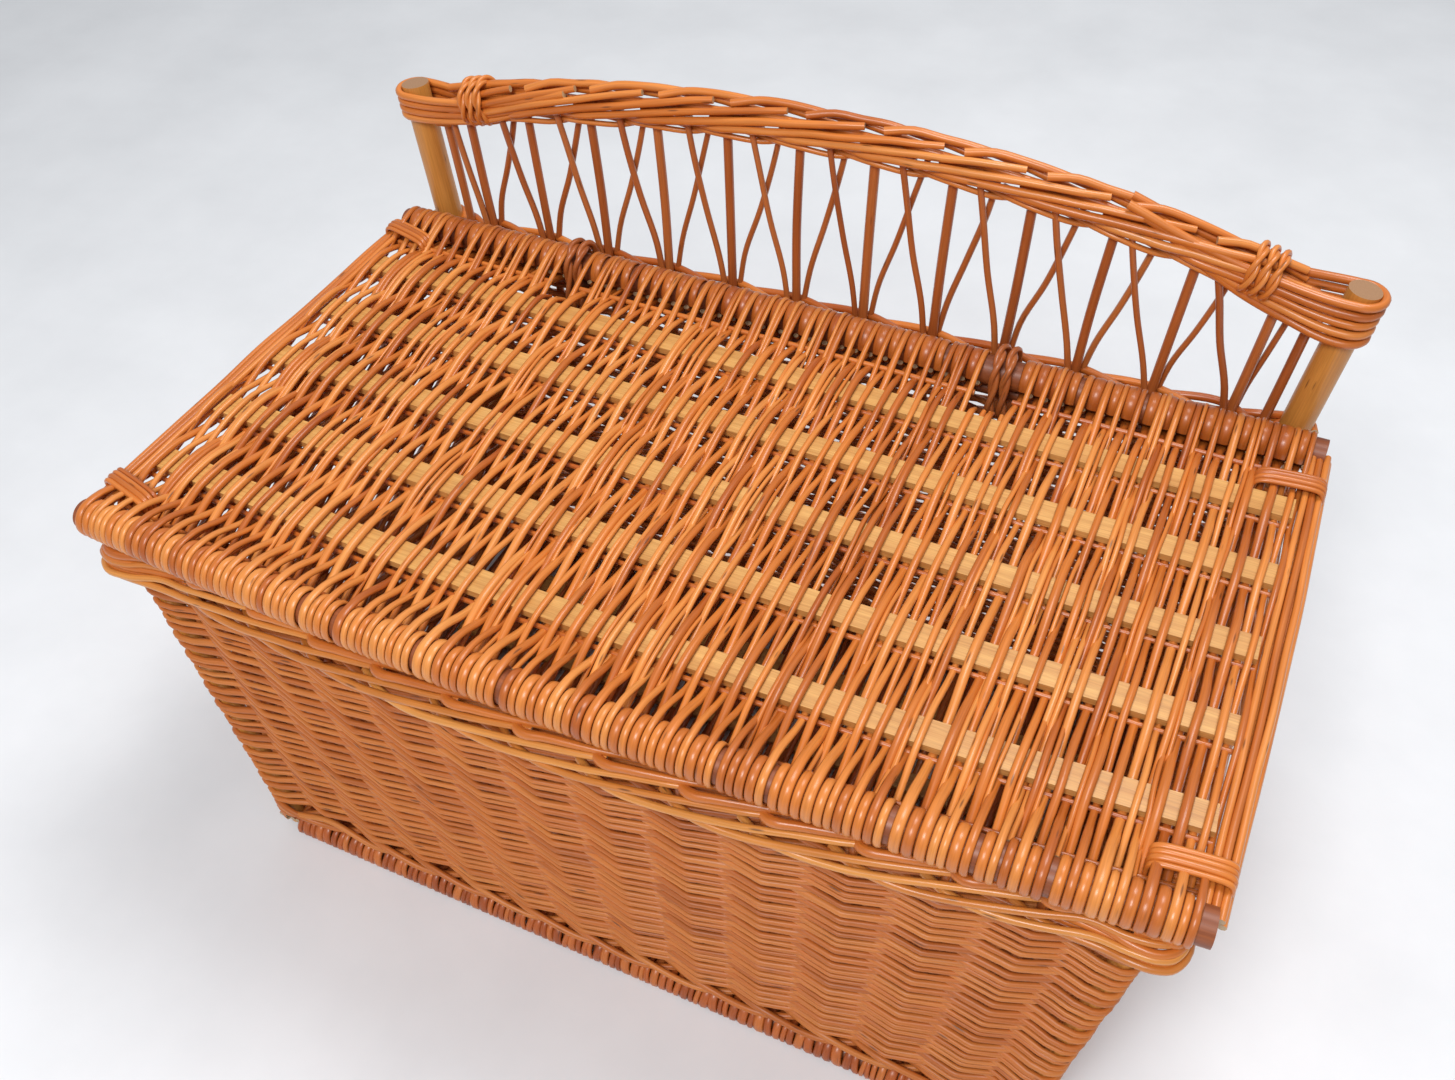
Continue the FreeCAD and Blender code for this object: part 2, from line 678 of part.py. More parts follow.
def tie_span(hand, y, grow=0.0):
    """The lowest corner of a lashing's hole in plan, and the lashing's width, as a formula."""
    outer_edge = size("side_rod_second") + size("side_rod_radius") + size("fit_gap")
    low_x = outer_edge - size("tie_reach") if hand > 0 else -outer_edge
    low_y = y - size("tie_width") / 2 - grow
    return Vector(low_x, low_y, 0), f"Sizes.tie_width + 2 * {grow}"


def lid_sides():
    """Two rods along each side of the lid, and a lashing over them near each corner."""
    clear = size("wrap_radius") + size("fit_gap")
    bars = [FRONT_BAR.y + clear, HINGE.y - clear]
    for side, hand in (("left", -1), ("right", 1)):
        rods = []
        for place in ("side_rod_first", "side_rod_second"):
            x = hand * size(place)
            low, high = Vector(x, bars[0], HINGE.z), Vector(x, bars[1], HINGE.z)
            rods.append(rod(f"{place}_{side}", low, high, "Sizes.side_rod_radius"))
        sub_part(f"lid_side_rods_{side}", together(f"lid_side_rods_{side}", rods))
    for label, hand, y in tie_places():
        lashing(label, hand, y)


def lashing(label, hand, y):
    """A flat ring of willow round the side rods and the outermost weavers."""
    thick = size("tie_thick")
    height = size("weave_thick") + 2 * size("fit_gap")
    bore_corner, bore_width = tie_span(hand, y, 1.0)
    bore_corner.z = HINGE.z - height / 2
    bore = block(label + "_bore", bore_corner, "Sizes.tie_reach", bore_width, f"{height}")
    band_corner, band_width = tie_span(hand, y)
    band_corner += Vector(-thick, 0, bore_corner.z - thick)
    band = block(label + "_band", band_corner, "Sizes.tie_reach + 2 * Sizes.tie_thick",
                 band_width, f"{height} + 2 * Sizes.tie_thick")
    sub_part(label, cut(label, band, bore))


# ---------------------------------------------------------------- checks and files

def check():
    """Stops on any failed object and on any sub-part without a sound shape."""
    for item in doc.Objects:
        if "Invalid" in item.State or "Error" in item.State:
            raise RuntimeError(f"{item.Name} has failed: {item.State}")
    for item in sub_parts:
        if item.Shape.isNull() or not item.Shape.isValid() or not item.Shape.Solids:
            raise RuntimeError(f"{item.Label} has no sound shape")


def export():
    os.makedirs("parts", exist_ok=True)
    for item in sub_parts:
        item.Shape.exportStep(os.path.join("parts", item.Label + ".step"))


base()
corner_uprights()
walls()
back_wall()
walings()
rim()
hinge_rod()
rail_rods()
rail_ties()
cross_rods()
foot_rods()
hinge_loops()
lid_bars()
lid_wraps()
lid_panel()
lid_sides()
doc.recompute()
check()
export()

whole = Part.makeCompound([item.Shape for item in sub_parts]).BoundBox
print(len(sub_parts), "sub-parts,", sum(len(item.Shape.Solids) for item in sub_parts), "solids")
print("x %.1f to %.1f, y %.1f to %.1f, z %.1f to %.1f"
      % (whole.XMin, whole.XMax, whole.YMin, whole.YMax, whole.ZMin, whole.ZMax))
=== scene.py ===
"""The willow bench's looks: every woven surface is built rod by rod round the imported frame.

Metres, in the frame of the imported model. Each rod is a tube along a smooth line; the rods of one
woven surface are one piece, and carry their grain and shade as attributes for the materials.
"""
import math

import bpy
import numpy as np
from mathutils import Matrix, Vector


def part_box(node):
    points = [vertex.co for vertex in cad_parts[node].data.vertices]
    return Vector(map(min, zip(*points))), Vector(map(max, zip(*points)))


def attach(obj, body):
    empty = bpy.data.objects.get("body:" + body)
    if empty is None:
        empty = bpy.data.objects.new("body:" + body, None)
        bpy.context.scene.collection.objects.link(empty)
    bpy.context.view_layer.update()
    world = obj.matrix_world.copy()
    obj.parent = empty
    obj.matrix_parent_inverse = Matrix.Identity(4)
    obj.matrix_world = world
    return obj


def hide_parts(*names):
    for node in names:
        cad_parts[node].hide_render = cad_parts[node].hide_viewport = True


MM = 0.001
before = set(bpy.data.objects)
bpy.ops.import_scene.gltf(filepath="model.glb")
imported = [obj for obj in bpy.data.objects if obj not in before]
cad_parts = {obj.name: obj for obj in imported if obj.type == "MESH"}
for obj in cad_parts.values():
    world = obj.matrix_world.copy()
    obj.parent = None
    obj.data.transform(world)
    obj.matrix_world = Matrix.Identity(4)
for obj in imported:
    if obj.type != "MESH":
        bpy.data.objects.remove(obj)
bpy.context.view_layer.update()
random = np.random.default_rng(23)
GRAIN_SPREAD = 90  # each rod's grain starts somewhere in this many metres of pattern


# ---------------------------------------------------------------- rods and bundles

def smooth_line(points, spacing):
    """A smooth line through the points, sampled about every spacing.

    The slope at a point leans towards its shorter neighbour, so tight turns stay tight. Returns the
    samples, how far along each one lies, and how far along each given point lies."""
    points = np.asarray(points, float)
    gaps = np.linalg.norm(np.diff(points, axis=0), axis=1)
    runs = np.diff(points, axis=0) / gaps[:, None]
    inner = (runs[:-1] * gaps[1:, None] + runs[1:] * gaps[:-1, None]) / (gaps[1:] + gaps[:-1])[:, None]
    slopes = np.concatenate([runs[:1], inner, runs[-1:]])
    knots = np.concatenate([[0], np.cumsum(gaps)])
    counts = np.maximum(2, np.ceil(gaps / spacing).astype(int))
    owner = np.repeat(np.arange(len(gaps)), counts)
    owner = np.append(owner, len(gaps) - 1)
    share = np.concatenate([np.arange(count) / count for count in counts])
    share = np.append(share, 1.0)
    part = share[:, None]
    gap = gaps[owner][:, None]
    line = ((2 * part ** 3 - 3 * part ** 2 + 1) * points[owner]
            + (part ** 3 - 2 * part ** 2 + part) * gap * slopes[owner]
            + (3 * part ** 2 - 2 * part ** 3) * points[owner + 1]
            + (part ** 3 - part ** 2) * gap * slopes[owner + 1])
    return line, knots[owner] + share * gaps[owner], knots


def cross_axes(line, across):
    """At each sample of a line, two directions square to it; the first is the nearest to across."""
    along = np.gradient(line, axis=0)
    along /= np.linalg.norm(along, axis=1)[:, None]
    across = np.asarray(across, float)
    side = across - along * (along @ across)[:, None]
    side /= np.linalg.norm(side, axis=1)[:, None]
    return side, np.cross(along, side)


class Bundle:
    """The rods of one piece: rings of points joined by four-cornered faces, with a flat cut end."""

    def __init__(self, sides=8):
        self.sides = sides
        self.places = []
        self.grains = []
        self.shades = []
        self.cuts = []
        self.quads = []
        self.ends = []
        self.count = 0

    def add(self, points, width, depth=None, across=(0, 0, 1), spacing=6 * MM, shade=None):
        """One rod through the points. width is its half width along across and depth the other
        way, each one number or one for every point."""
        line, place, knots = smooth_line(points, spacing)
        width = np.interp(place, knots, np.broadcast_to(width, len(knots)))
        depth = width if depth is None else np.interp(place, knots, np.broadcast_to(depth, len(knots)))
        shade = random.uniform() if shade is None else shade
        shade = np.repeat(np.interp(place, knots, np.broadcast_to(shade, len(knots))), self.sides)
        side, lift = cross_axes(line, across)
        turn = np.linspace(0, 2 * math.pi, self.sides, endpoint=False)
        out = width[:, None] * np.cos(turn)
        up = depth[:, None] * np.sin(turn)
        rings = line[:, None] + out[..., None] * side[:, None] + up[..., None] * lift[:, None]
        start = random.uniform(0, GRAIN_SPREAD)
        length = np.broadcast_to(start + place[:, None], out.shape)
        grain = np.stack([length, out, up], axis=-1)
        first = self.count
        self._store(rings.reshape(-1, 3), grain.reshape(-1, 3), shade, 0.0)
        ring = np.arange(len(line) - 1)[:, None] * self.sides
        near = np.arange(self.sides)
        far = (near + 1) % self.sides
        corners = [ring + near, ring + far, ring + self.sides + far, ring + self.sides + near]
        self.quads.append((first + np.stack(corners, axis=-1)).reshape(-1, 4))
        for end, order in ((0, -1), (-1, 1)):
            end_shade = shade[-self.sides:] if end else shade[:self.sides]
            self._store(rings[end], grain[end], end_shade, 1.0)
            self.ends.append((self.count - self.sides + np.arange(self.sides))[::order])

    def _store(self, places, grain, shade, cut):
        self.places.append(places)
        self.grains.append(grain)
        self.shades.append(shade)
        self.cuts.append(np.full(len(places), cut))
        self.count += len(places)

    def piece(self, name, body, material, slot, *nodes):
        """The rods as one mesh that rides on a body and stands for the CAD nodes.

        Its attributes: grain runs along and across each rod, shade is the rod's own tone, and cut is
        1 on the sawn ends."""
        mesh = bpy.data.meshes.new(name)
        quads, ends = np.concatenate(self.quads), np.concatenate(self.ends)
        mesh.vertices.add(self.count)
        mesh.vertices.foreach_set("co", np.concatenate(self.places).astype(np.float32).ravel())
        mesh.loops.add(quads.size + ends.size)
        mesh.loops.foreach_set("vertex_index", np.concatenate([quads.ravel(), ends]).astype(np.int32))
        sizes = np.concatenate([np.full(len(quads), 4), np.full(len(self.ends), self.sides)])
        mesh.polygons.add(len(sizes))
        mesh.polygons.foreach_set("loop_start", (np.cumsum(sizes) - sizes).astype(np.int32))
        mesh.polygons.foreach_set("use_smooth", np.ones(len(sizes), bool))
        mesh.update(calc_edges=True)
        for label, kind, key, values in (("grain", "FLOAT_VECTOR", "vector", self.grains),
                                         ("shade", "FLOAT", "value", self.shades),
                                         ("cut", "FLOAT", "value", self.cuts)):
            attribute = mesh.attributes.new(label, kind, "POINT")
            attribute.data.foreach_set(key, np.concatenate(values).astype(np.float32).ravel())
        mesh.materials.append(material)
        mesh.validate()
        obj = bpy.data.objects.new(name, mesh)
        bpy.context.scene.collection.objects.link(obj)
        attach(obj, body)
        if nodes:
            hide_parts(*nodes)
        return obj


def wobble(size, count=None):
    """A small random shift, or several."""
    return random.uniform(-size, size, count)


# ---------------------------------------------------------------- materials

GLOSS_DIP = 0.1  # how far under a wood's own roughness its smoothest streaks lie


class Shading:
    """A material's node tree, with short ways to add and join nodes."""

    def __init__(self, name):
        self.material = bpy.data.materials.new(name)
        self.material.use_nodes = True
        self.tree = self.material.node_tree
        self.surface = self.tree.nodes["Principled BSDF"]

    def node(self, kind, **values):
        made = self.tree.nodes.new("ShaderNode" + kind)
        for key, value in values.items():
            if hasattr(made, key):
                setattr(made, key, value)
            else:
                made.inputs[key.replace("_", " ")].default_value = value
        return made

    def join(self, source, target):
        self.tree.links.new(source, target)

    def scaled(self, vector, scale):
        """A vector with each part multiplied, for a texture stretched along the grain."""
        node = self.node("VectorMath", operation="MULTIPLY")
        self.join(vector, node.inputs[0])
        node.inputs[1].default_value = scale
        return node.outputs[0]

    def noise(self, vector, detail, rough=0.55):
        node = self.node("TexNoise", Scale=1.0, Detail=detail, Roughness=rough)
        self.join(vector, node.inputs["Vector"])
        return node.outputs["Fac"]

    def ramp(self, value, stops):
        """A colour read off stops of (place, colour)."""
        node = self.node("ValToRGB")
        elements = node.color_ramp.elements
        while len(elements) < len(stops):
            elements.new(0.5)
        for element, (place, colour) in zip(elements, stops):
            element.position = place
            element.color = (*colour, 1.0)
        self.join(value, node.inputs["Fac"])
        return node.outputs["Color"]

    def mixed(self, share, first, second, blend="MIX"):
        """Two colours mixed; each is a socket or a plain colour."""
        node = self.node("Mix", data_type="RGBA", blend_type=blend)
        for value, target in ((share, node.inputs[0]), (first, node.inputs[6]), (second, node.inputs[7])):
            if isinstance(value, bpy.types.NodeSocket):
                self.join(value, target)
            else:
                target.default_value = value if isinstance(value, float) else (*value, 1.0)
        return node.outputs[2]

    def maths(self, operation, *values):
        """A sum; each value is a socket or a plain number."""
        node = self.node("Math", operation=operation)
        for value, target in zip(values, node.inputs):
            if isinstance(value, bpy.types.NodeSocket):
                self.join(value, target)
            else:
                target.default_value = value
        return node.outputs[0]

    def attribute(self, name, output="Fac"):
        return self.node("Attribute", attribute_name=name).outputs[output]

    def bump(self, height, distance, strength=1.0):
        node = self.node("Bump", Strength=strength, Distance=distance)
        self.join(height, node.inputs["Height"])
        self.join(node.outputs["Normal"], self.surface.inputs["Normal"])

    def finish(self, colour, streaks, gloss, spread, coat, coat_gloss):
        """Joins the colour, a roughness that follows the streaks, and a coat of varnish."""
        self.join(colour, self.surface.inputs["Base Color"])
        rough = self.maths("MULTIPLY_ADD", streaks, spread, gloss - GLOSS_DIP)
        self.join(rough, self.surface.inputs["Roughness"])
        self.surface.inputs["Coat Weight"].default_value = coat
        self.surface.inputs["Coat Roughness"].default_value = coat_gloss


def willow(name, dark, middle, light, cut_end=(0.62, 0.42, 0.22), gloss=0.34, coat=0.3):
    """Varnished peeled willow: each rod its own shade, with long streaks, knots and pale cut ends."""
    shading = Shading(name)
    grain = shading.attribute("grain", "Vector")
    slow = shading.noise(shading.scaled(grain, (9.0, 60.0, 60.0)), 2.0)
    streaks = shading.noise(shading.scaled(grain, (26.0, 900.0, 900.0)), 4.0, 0.6)
    level = shading.maths("MULTIPLY_ADD", shading.attribute("shade"), 0.55, -0.12)
    level = shading.maths("ADD", level, shading.maths("MULTIPLY", slow, 0.62))
    colour = shading.ramp(level, [(0.08, dark), (0.45, middle), (0.85, light)])
    fine = shading.ramp(streaks, [(0.3, (0.72, 0.68, 0.64)), (0.62, (1.0, 1.0, 1.0))])
    colour = shading.mixed(0.75, colour, fine, "MULTIPLY")
    knots = shading.node("TexVoronoi", Scale=1.0)
    shading.join(shading.scaled(grain, (24.0, 170.0, 170.0)), knots.inputs["Vector"])
    spot = shading.ramp(knots.outputs["Distance"], [(0.06, (1.0, 1.0, 1.0)), (0.14, (0.0, 0.0, 0.0))])
    colour = shading.mixed(shading.maths("MULTIPLY", spot, 0.7), colour, (0.09, 0.03, 0.012))
    rings = shading.noise(shading.scaled(grain, (300.0, 1300.0, 1300.0)), 2.0)
    ends = shading.mixed(rings, tuple(part * 0.6 for part in cut_end), cut_end)
    colour = shading.mixed(shading.attribute("cut"), colour, ends)
    shading.finish(colour, streaks, gloss, 0.22, coat, 0.22)
    shading.surface.inputs["Specular IOR Level"].default_value = 0.4
    relief = shading.maths("ADD", streaks, shading.maths("MULTIPLY", spot, 0.5))
    shading.bump(relief, 0.25 * MM, 0.5)
    return shading.material


def sawn_wood(name, dark, light, along, gloss=0.42):
    """Pale planed or turned wood; along is the stretch of its grain along each axis."""
    shading = Shading(name)
    place = shading.node("TexCoord").outputs["Object"]
    broad = shading.noise(shading.scaled(place, tuple(part * 0.12 for part in along)), 3.0)
    fibres = shading.noise(shading.scaled(place, along), 4.0, 0.65)
    colour = shading.ramp(broad, [(0.3, dark), (0.7, light)])
    lines = shading.ramp(fibres, [(0.34, (0.74, 0.68, 0.6)), (0.6, (1.0, 1.0, 1.0))])
    colour = shading.mixed(0.8, colour, lines, "MULTIPLY")
    shading.finish(colour, fibres, gloss, 0.2, 0.2, 0.3)
    shading.bump(fibres, 0.2 * MM, 0.4)
    return shading.material


def floor_material():
    """Pale smooth concrete with a very faint mottle."""
    shading = Shading("pale_floor")
    place = shading.node("TexCoord").outputs["Object"]
    mottle = shading.noise(shading.scaled(place, (6.0, 6.0, 6.0)), 5.0)
    colour = shading.ramp(mottle, [(0.3, (0.78, 0.79, 0.81)), (0.7, (0.85, 0.86, 0.88))])
    shading.join(colour, shading.surface.inputs["Base Color"])
    shading.surface.inputs["Roughness"].default_value = 0.9
    return shading.material


LID_WILLOW = willow("lid_willow", (0.38, 0.075, 0.010), (0.68, 0.200, 0.031), (0.82, 0.32, 0.075))
WALL_WILLOW = willow("wall_willow", (0.35, 0.082, 0.014), (0.58, 0.165, 0.029), (0.68, 0.24, 0.052),
                     gloss=0.45, coat=0.12)
GOLDEN = willow("golden_willow", (0.42, 0.11, 0.017), (0.68, 0.235, 0.040), (0.82, 0.36, 0.082),
                gloss=0.32)
RUSSET = willow("russet_willow", (0.26, 0.058, 0.014), (0.45, 0.118, 0.026), (0.56, 0.18, 0.046))
FOOT_WILLOW = willow("foot_willow", (0.30, 0.058, 0.011), (0.54, 0.13, 0.024), (0.68, 0.22, 0.048),
                     gloss=0.4)
BARK = willow("bark_stick_wood", (0.15, 0.04, 0.017), (0.27, 0.08, 0.03), (0.36, 0.13, 0.05),
              cut_end=(0.34, 0.16, 0.07), gloss=0.5)
POST = willow("post_wood", (0.42, 0.15, 0.026), (0.60, 0.25, 0.046), (0.70, 0.33, 0.08),
              cut_end=(0.44, 0.23, 0.11), gloss=0.45)
SLAT = sawn_wood("slat_wood", (0.56, 0.26, 0.066), (0.74, 0.41, 0.125), (30.0, 900.0, 900.0))
STICK = sawn_wood("stick_wood", (0.17, 0.038, 0.010), (0.34, 0.088, 0.020), (40.0, 700.0, 700.0),
                  gloss=0.5)


def paint(name, material):
    """Gives a CAD node one material all over, and returns it."""
    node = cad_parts[name]
    for slot in node.material_slots:
        slot.material = material
    return node


def round_edges(node, label, width):
    """Takes the sharpness off a CAD node's edges."""
    bevel = node.modifiers.new(label, "BEVEL")
    bevel.width = width
    bevel.segments = 2


# ---------------------------------------------------------------- places read from the frame

def straight_rods(node):
    """The axis ends of each straight rod in a CAD node, lowest end first, sorted along X then Y."""
    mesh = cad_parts[node].data
    places = np.array([vertex.co for vertex in mesh.vertices])
    keys, owner = np.unique(np.round(places, 6), axis=0, return_inverse=True)
    owner = owner.ravel()
    group = np.arange(len(keys))

    def root(index):
        while group[index] != index:
            index = group[index]
        return index

    for polygon in mesh.polygons:
        corners = [root(owner[index]) for index in polygon.vertices]
        for corner in corners[1:]:
            group[root(corner)] = root(corners[0])
    roots = np.array([root(index) for index in range(len(keys))])
    rods = []
    for one in np.unique(roots):
        cloud = keys[roots == one]
        middle = cloud.mean(0)
        axis = np.linalg.svd(cloud - middle)[2][0]
        axis = axis if axis[np.argmax(abs(axis))] > 0 else -axis
        share = (cloud - middle) @ axis
        reach = share.max() - share.min()
        low = cloud[share < share.min() + 0.02 * reach].mean(0)
        high = cloud[share > share.max() - 0.02 * reach].mean(0)
        rods.append((low, high))
    return sorted(rods, key=lambda ends: (round(ends[0][0], 4), ends[0][1]))


def at_height(axis, height):
    """The point of an upright's axis at a height."""
    low, high = axis
    return low + (high - low) * ((height - low[2]) / (high[2] - low[2]))


BACK_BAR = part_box("lid_back_bar")
HINGE_Y = (BACK_BAR[0].y + BACK_BAR[1].y) / 2
LID_Z = (BACK_BAR[0].z + BACK_BAR[1].z) / 2
BAR_HALF = BACK_BAR[1].x
BAR_RADIUS = (BACK_BAR[1].z - BACK_BAR[0].z) / 2
WALL_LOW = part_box("front_wall_weave")[0].z
WALL_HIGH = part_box("front_wall_weave")[1].z
STAKE_RADIUS = 3.5 * MM
STICK_RADIUS = 7 * MM
POST_RADIUS = 11 * MM

front_sticks = [straight_rods("corner_stick_left")[0], straight_rods("corner_stick_right")[0]]
posts = [straight_rods("back_post_left")[0], straight_rods("back_post_right")[0]]
uprights = straight_rods("back_uprights")
left_stakes = sorted(straight_rods("left_stakes"), key=lambda ends: -ends[0][1])
right_stakes = sorted(straight_rods("right_stakes"), key=lambda ends: ends[0][1])

# Every upright of the basket in order round it, seen from above, from the front left corner.
RING = ([(front_sticks[0], STICK_RADIUS)] + [(ends, STAKE_RADIUS) for ends in straight_rods("front_stakes")]
        + [(front_sticks[1], STICK_RADIUS)] + [(ends, STAKE_RADIUS) for ends in right_stakes]
        + [(posts[1], POST_RADIUS)] + [(ends, STAKE_RADIUS) for ends in uprights[::-1]]
        + [(posts[0], POST_RADIUS)] + [(ends, STAKE_RADIUS) for ends in left_stakes])
COUNT = len(RING)
FRONT_RIGHT = 1 + len(straight_rods("front_stakes"))
BACK_RIGHT = FRONT_RIGHT + 1 + len(right_stakes)
BACK_LEFT = BACK_RIGHT + 1 + len(uprights)
CORNERS = (0, FRONT_RIGHT, BACK_RIGHT, BACK_LEFT)

# How rods go round a corner. Distances along the ring are counted in uprights.
CORNER_SWING = 0.16
CORNER_REACH = {0: -9 * MM, FRONT_RIGHT: 4 * MM}
BULGE_SPREAD = 0.35
REACH_SPREAD = 0.5
INNER_CORNER = 0.35
CORNER_ANGLES = (-50, 0, 50)


def normals_at(points):
    """Outward directions at each upright of a closed ring, level."""
    before = points - np.roll(points, 1, axis=0)
    after = np.roll(points, -1, axis=0) - points
    before /= np.linalg.norm(before, axis=1)[:, None]
    after /= np.linalg.norm(after, axis=1)[:, None]
    along = before + after
    along /= np.linalg.norm(along, axis=1)[:, None]
    return np.stack([along[:, 1], -along[:, 0], np.zeros(len(points))], axis=1)


def ring_at(height):
    """The ring's uprights at a height, and their outward directions."""
    points = np.array([at_height(axis, height) for axis, radius in RING])
    return points, normals_at(points)


def level_normal(run):
    """The level direction to the right of a run, which is outward round the ring."""
    flat = np.array([run[1], -run[0], 0.0])
    return flat / np.linalg.norm(flat)


def corner_normal(points, corner):
    """The outward direction at a corner, half way between its two walls."""
    total = np.zeros(3)
    for step in (-1, 1):
        total += level_normal((points[(corner + step) % COUNT] - points[corner]) * step)
    return total / np.linalg.norm(total)


def beside(points, place, out, height, bulge=0.0):
    """A point beside the ring: place counts uprights, out is the distance outward.

    Near a corner the point swings round it, bulge further out than along the walls, and the front
    corners reach out sideways too."""
    index = int(math.floor(place))
    share = place - index
    near = index % COUNT
    far = (index + 1) % COUNT
    flat = level_normal(points[far] - points[near])
    sideways = 0.0
    corner = near if share < 0.5 else far
    if corner in CORNERS:
        reach = min(share, 1 - share)
        swing = max(0.0, 1 - reach / CORNER_SWING)
        out += bulge * math.exp(-(reach / BULGE_SPREAD) ** 2)
        if bulge:
            sideways = CORNER_REACH.get(corner, 0.0) * math.exp(-(reach / REACH_SPREAD) ** 2)
        if swing:
            share = 0.0 if share < 0.5 else 1.0
        normal = flat * (1 - swing) + corner_normal(points, corner) * swing
        flat = normal / np.linalg.norm(normal)
        if out < 0:
            out *= 1 + INNER_CORNER * swing
    spot = points[near] * (1 - share) + points[far] * share + flat * out
    spot[0] += sideways
    spot[2] = height
    return spot


# ---------------------------------------------------------------- the basket's walls

ROW_PITCH = 4.7 * MM
ROW_RADIUS = 2.0 * MM
ROW_WOBBLE = 0.75 * MM
ROW_SPACING = 13 * MM
ROWS_LOW = WALL_LOW - 3 * MM
ROWS_HIGH = WALL_HIGH + 1 * MM
BEND_REACH = 7 * MM
BEND = ((-1, 0.74), (0, 1.0), (1, 0.74))  # (bend reaches along the wall, share of the way out)
CORNER_DRAW = 0.95 * MM
BANDS = 4
# How much a rod swells between two uprights and past one; the back and left walls are closer.
FRONT_SWELL = (1.2, 1.0)
BACK_SWELL = (1.32, 1.24)


def along_wall(normal):
    """The level direction along the ring at an outward direction."""
    return np.array([-normal[1], normal[0], 0.0])


def round_corner(point, normal, reach):
    """Three points round the outside of a corner upright."""
    along = along_wall(normal)
    turns = [math.radians(angle) for angle in CORNER_ANGLES]
    return [point + (normal * math.cos(turn) + along * math.sin(turn)) * reach for turn in turns]


def past_upright(point, normal, radius, outside, corner):
    """The points that lead a rod past one upright, outside or inside it."""
    reach = radius + ROW_RADIUS
    if corner and outside:
        return round_corner(point, normal, reach)
    if corner:
        return [point - normal * reach]
    hand = 1 if outside else -1
    along = along_wall(normal)
    return [point + normal * reach * hand * share + along * BEND_REACH * step for step, share in BEND]


def wall_row(bundle, number, height, radius):
    """One rod's way round the basket, in front of every other upright.

    At the corners the rows draw together in fours, with gaps between."""
    points, normals = ring_at(height)
    route = []
    swell = []
    for step in range(COUNT + 1):
        index = (BACK_LEFT + step) % COUNT
        outside = (number + step) % 2 == 0
        corner = index in CORNERS
        place = points[index] + wobble(ROW_WOBBLE, 3) * (0.2, 0.2, 1)
        if corner:
            place[2] += (1.5 - number % 4) * CORNER_DRAW
        bend = past_upright(place, normals[index], RING[index][1], outside, corner)
        if route:
            route.append((route[-1] + bend[0]) / 2)
            swell.append(BACK_SWELL[0] if index == 0 or index > BACK_RIGHT else FRONT_SWELL[0])
        route += bend
        swell += [BACK_SWELL[1] if index >= BACK_RIGHT else FRONT_SWELL[1]] * len(bend)
    waves = 0.08 * np.sin(np.linspace(0, 9, len(route)) + number)
    thick = radius * (np.array(swell) + wobble(0.05) + waves)
    bundle.add(route, thick, spacing=ROW_SPACING, shade=random.uniform(0.2, 0.9))


def walls():
    """Four bands of rows, from the foot to the rim, in slow waves of thicker and thinner rods."""
    total = int((ROWS_HIGH - ROWS_LOW) / ROW_PITCH)
    sizes = 1 + 0.2 * np.sin(np.arange(total) * 0.5) + wobble(0.08, total)
    heights = np.cumsum(sizes)
    heights = ROWS_LOW + (ROWS_HIGH - ROWS_LOW) * (heights - sizes / 2) / heights[-1]
    for band in range(BANDS):
        bundle = Bundle(8)
        for number in range(band * total // BANDS, (band + 1) * total // BANDS):
            wall_row(bundle, number, heights[number], ROW_RADIUS * sizes[number])
        bundle.piece(f"wall_rows_{band + 1}", "basket", WALL_WILLOW, "willow", "front_wall_weave",
                     "back_wall_weave", "left_wall_weave", "right_wall_weave")


def waling(bundle, rises, height, first, last, radius, shades=(0.3, 0.9)):
    """Three thicker rods round the uprights, each outside two and inside the next.

    rises are how far over height a rod passes the inside upright and then the two outside ones."""
    points, normals = ring_at(height)
    for rod in range(3):
        route = []
        for place in range(first, last + 1):
            index = place % COUNT
            phase = (place + rod) % 3
            reach = RING[index][1] + radius
            level = height + rises[phase] + wobble(0.4 * MM)
            if index in CORNERS:
                for spot in round_corner(points[index], normals[index], reach):
                    spot[2] = level
                    route.append(spot)
            else:
                route.append(beside(points, place, -reach if phase == 0 else reach, level))
        bundle.add(route, radius * (1 + wobble(0.06)), spacing=6 * MM, shade=random.uniform(*shades))


def foot_walings():
    """Three rods round the whole foot, and three lower ones round its sides and back."""
    bundle = Bundle(10)
    radius = 2.5 * MM
    waling(bundle, (4.0 * MM, 8.4 * MM, 0.0), 23.5 * MM, BACK_LEFT, BACK_LEFT + COUNT, radius)
    waling(bundle, (2.4 * MM, 4.8 * MM, 0.0), 14 * MM, FRONT_RIGHT, COUNT, radius)
    bundle.piece("foot_waling", "basket", WALL_WILLOW, "willow_golden", "waling_front", "waling_back",
                 "waling_left", "waling_right")


# ---------------------------------------------------------------- the rim

RIM_Z = WALL_HIGH + 6 * MM
RIM_BULGE = 9 * MM
RIM_FIRST = BACK_LEFT + 0.3
RIM_LAST = COUNT + BACK_RIGHT - 0.3
RIM_CORNERS = CORNERS + (COUNT, COUNT + FRONT_RIGHT)
CORNER_STOPS = (-0.2, -0.09, -0.03, 0.03, 0.09, 0.2)

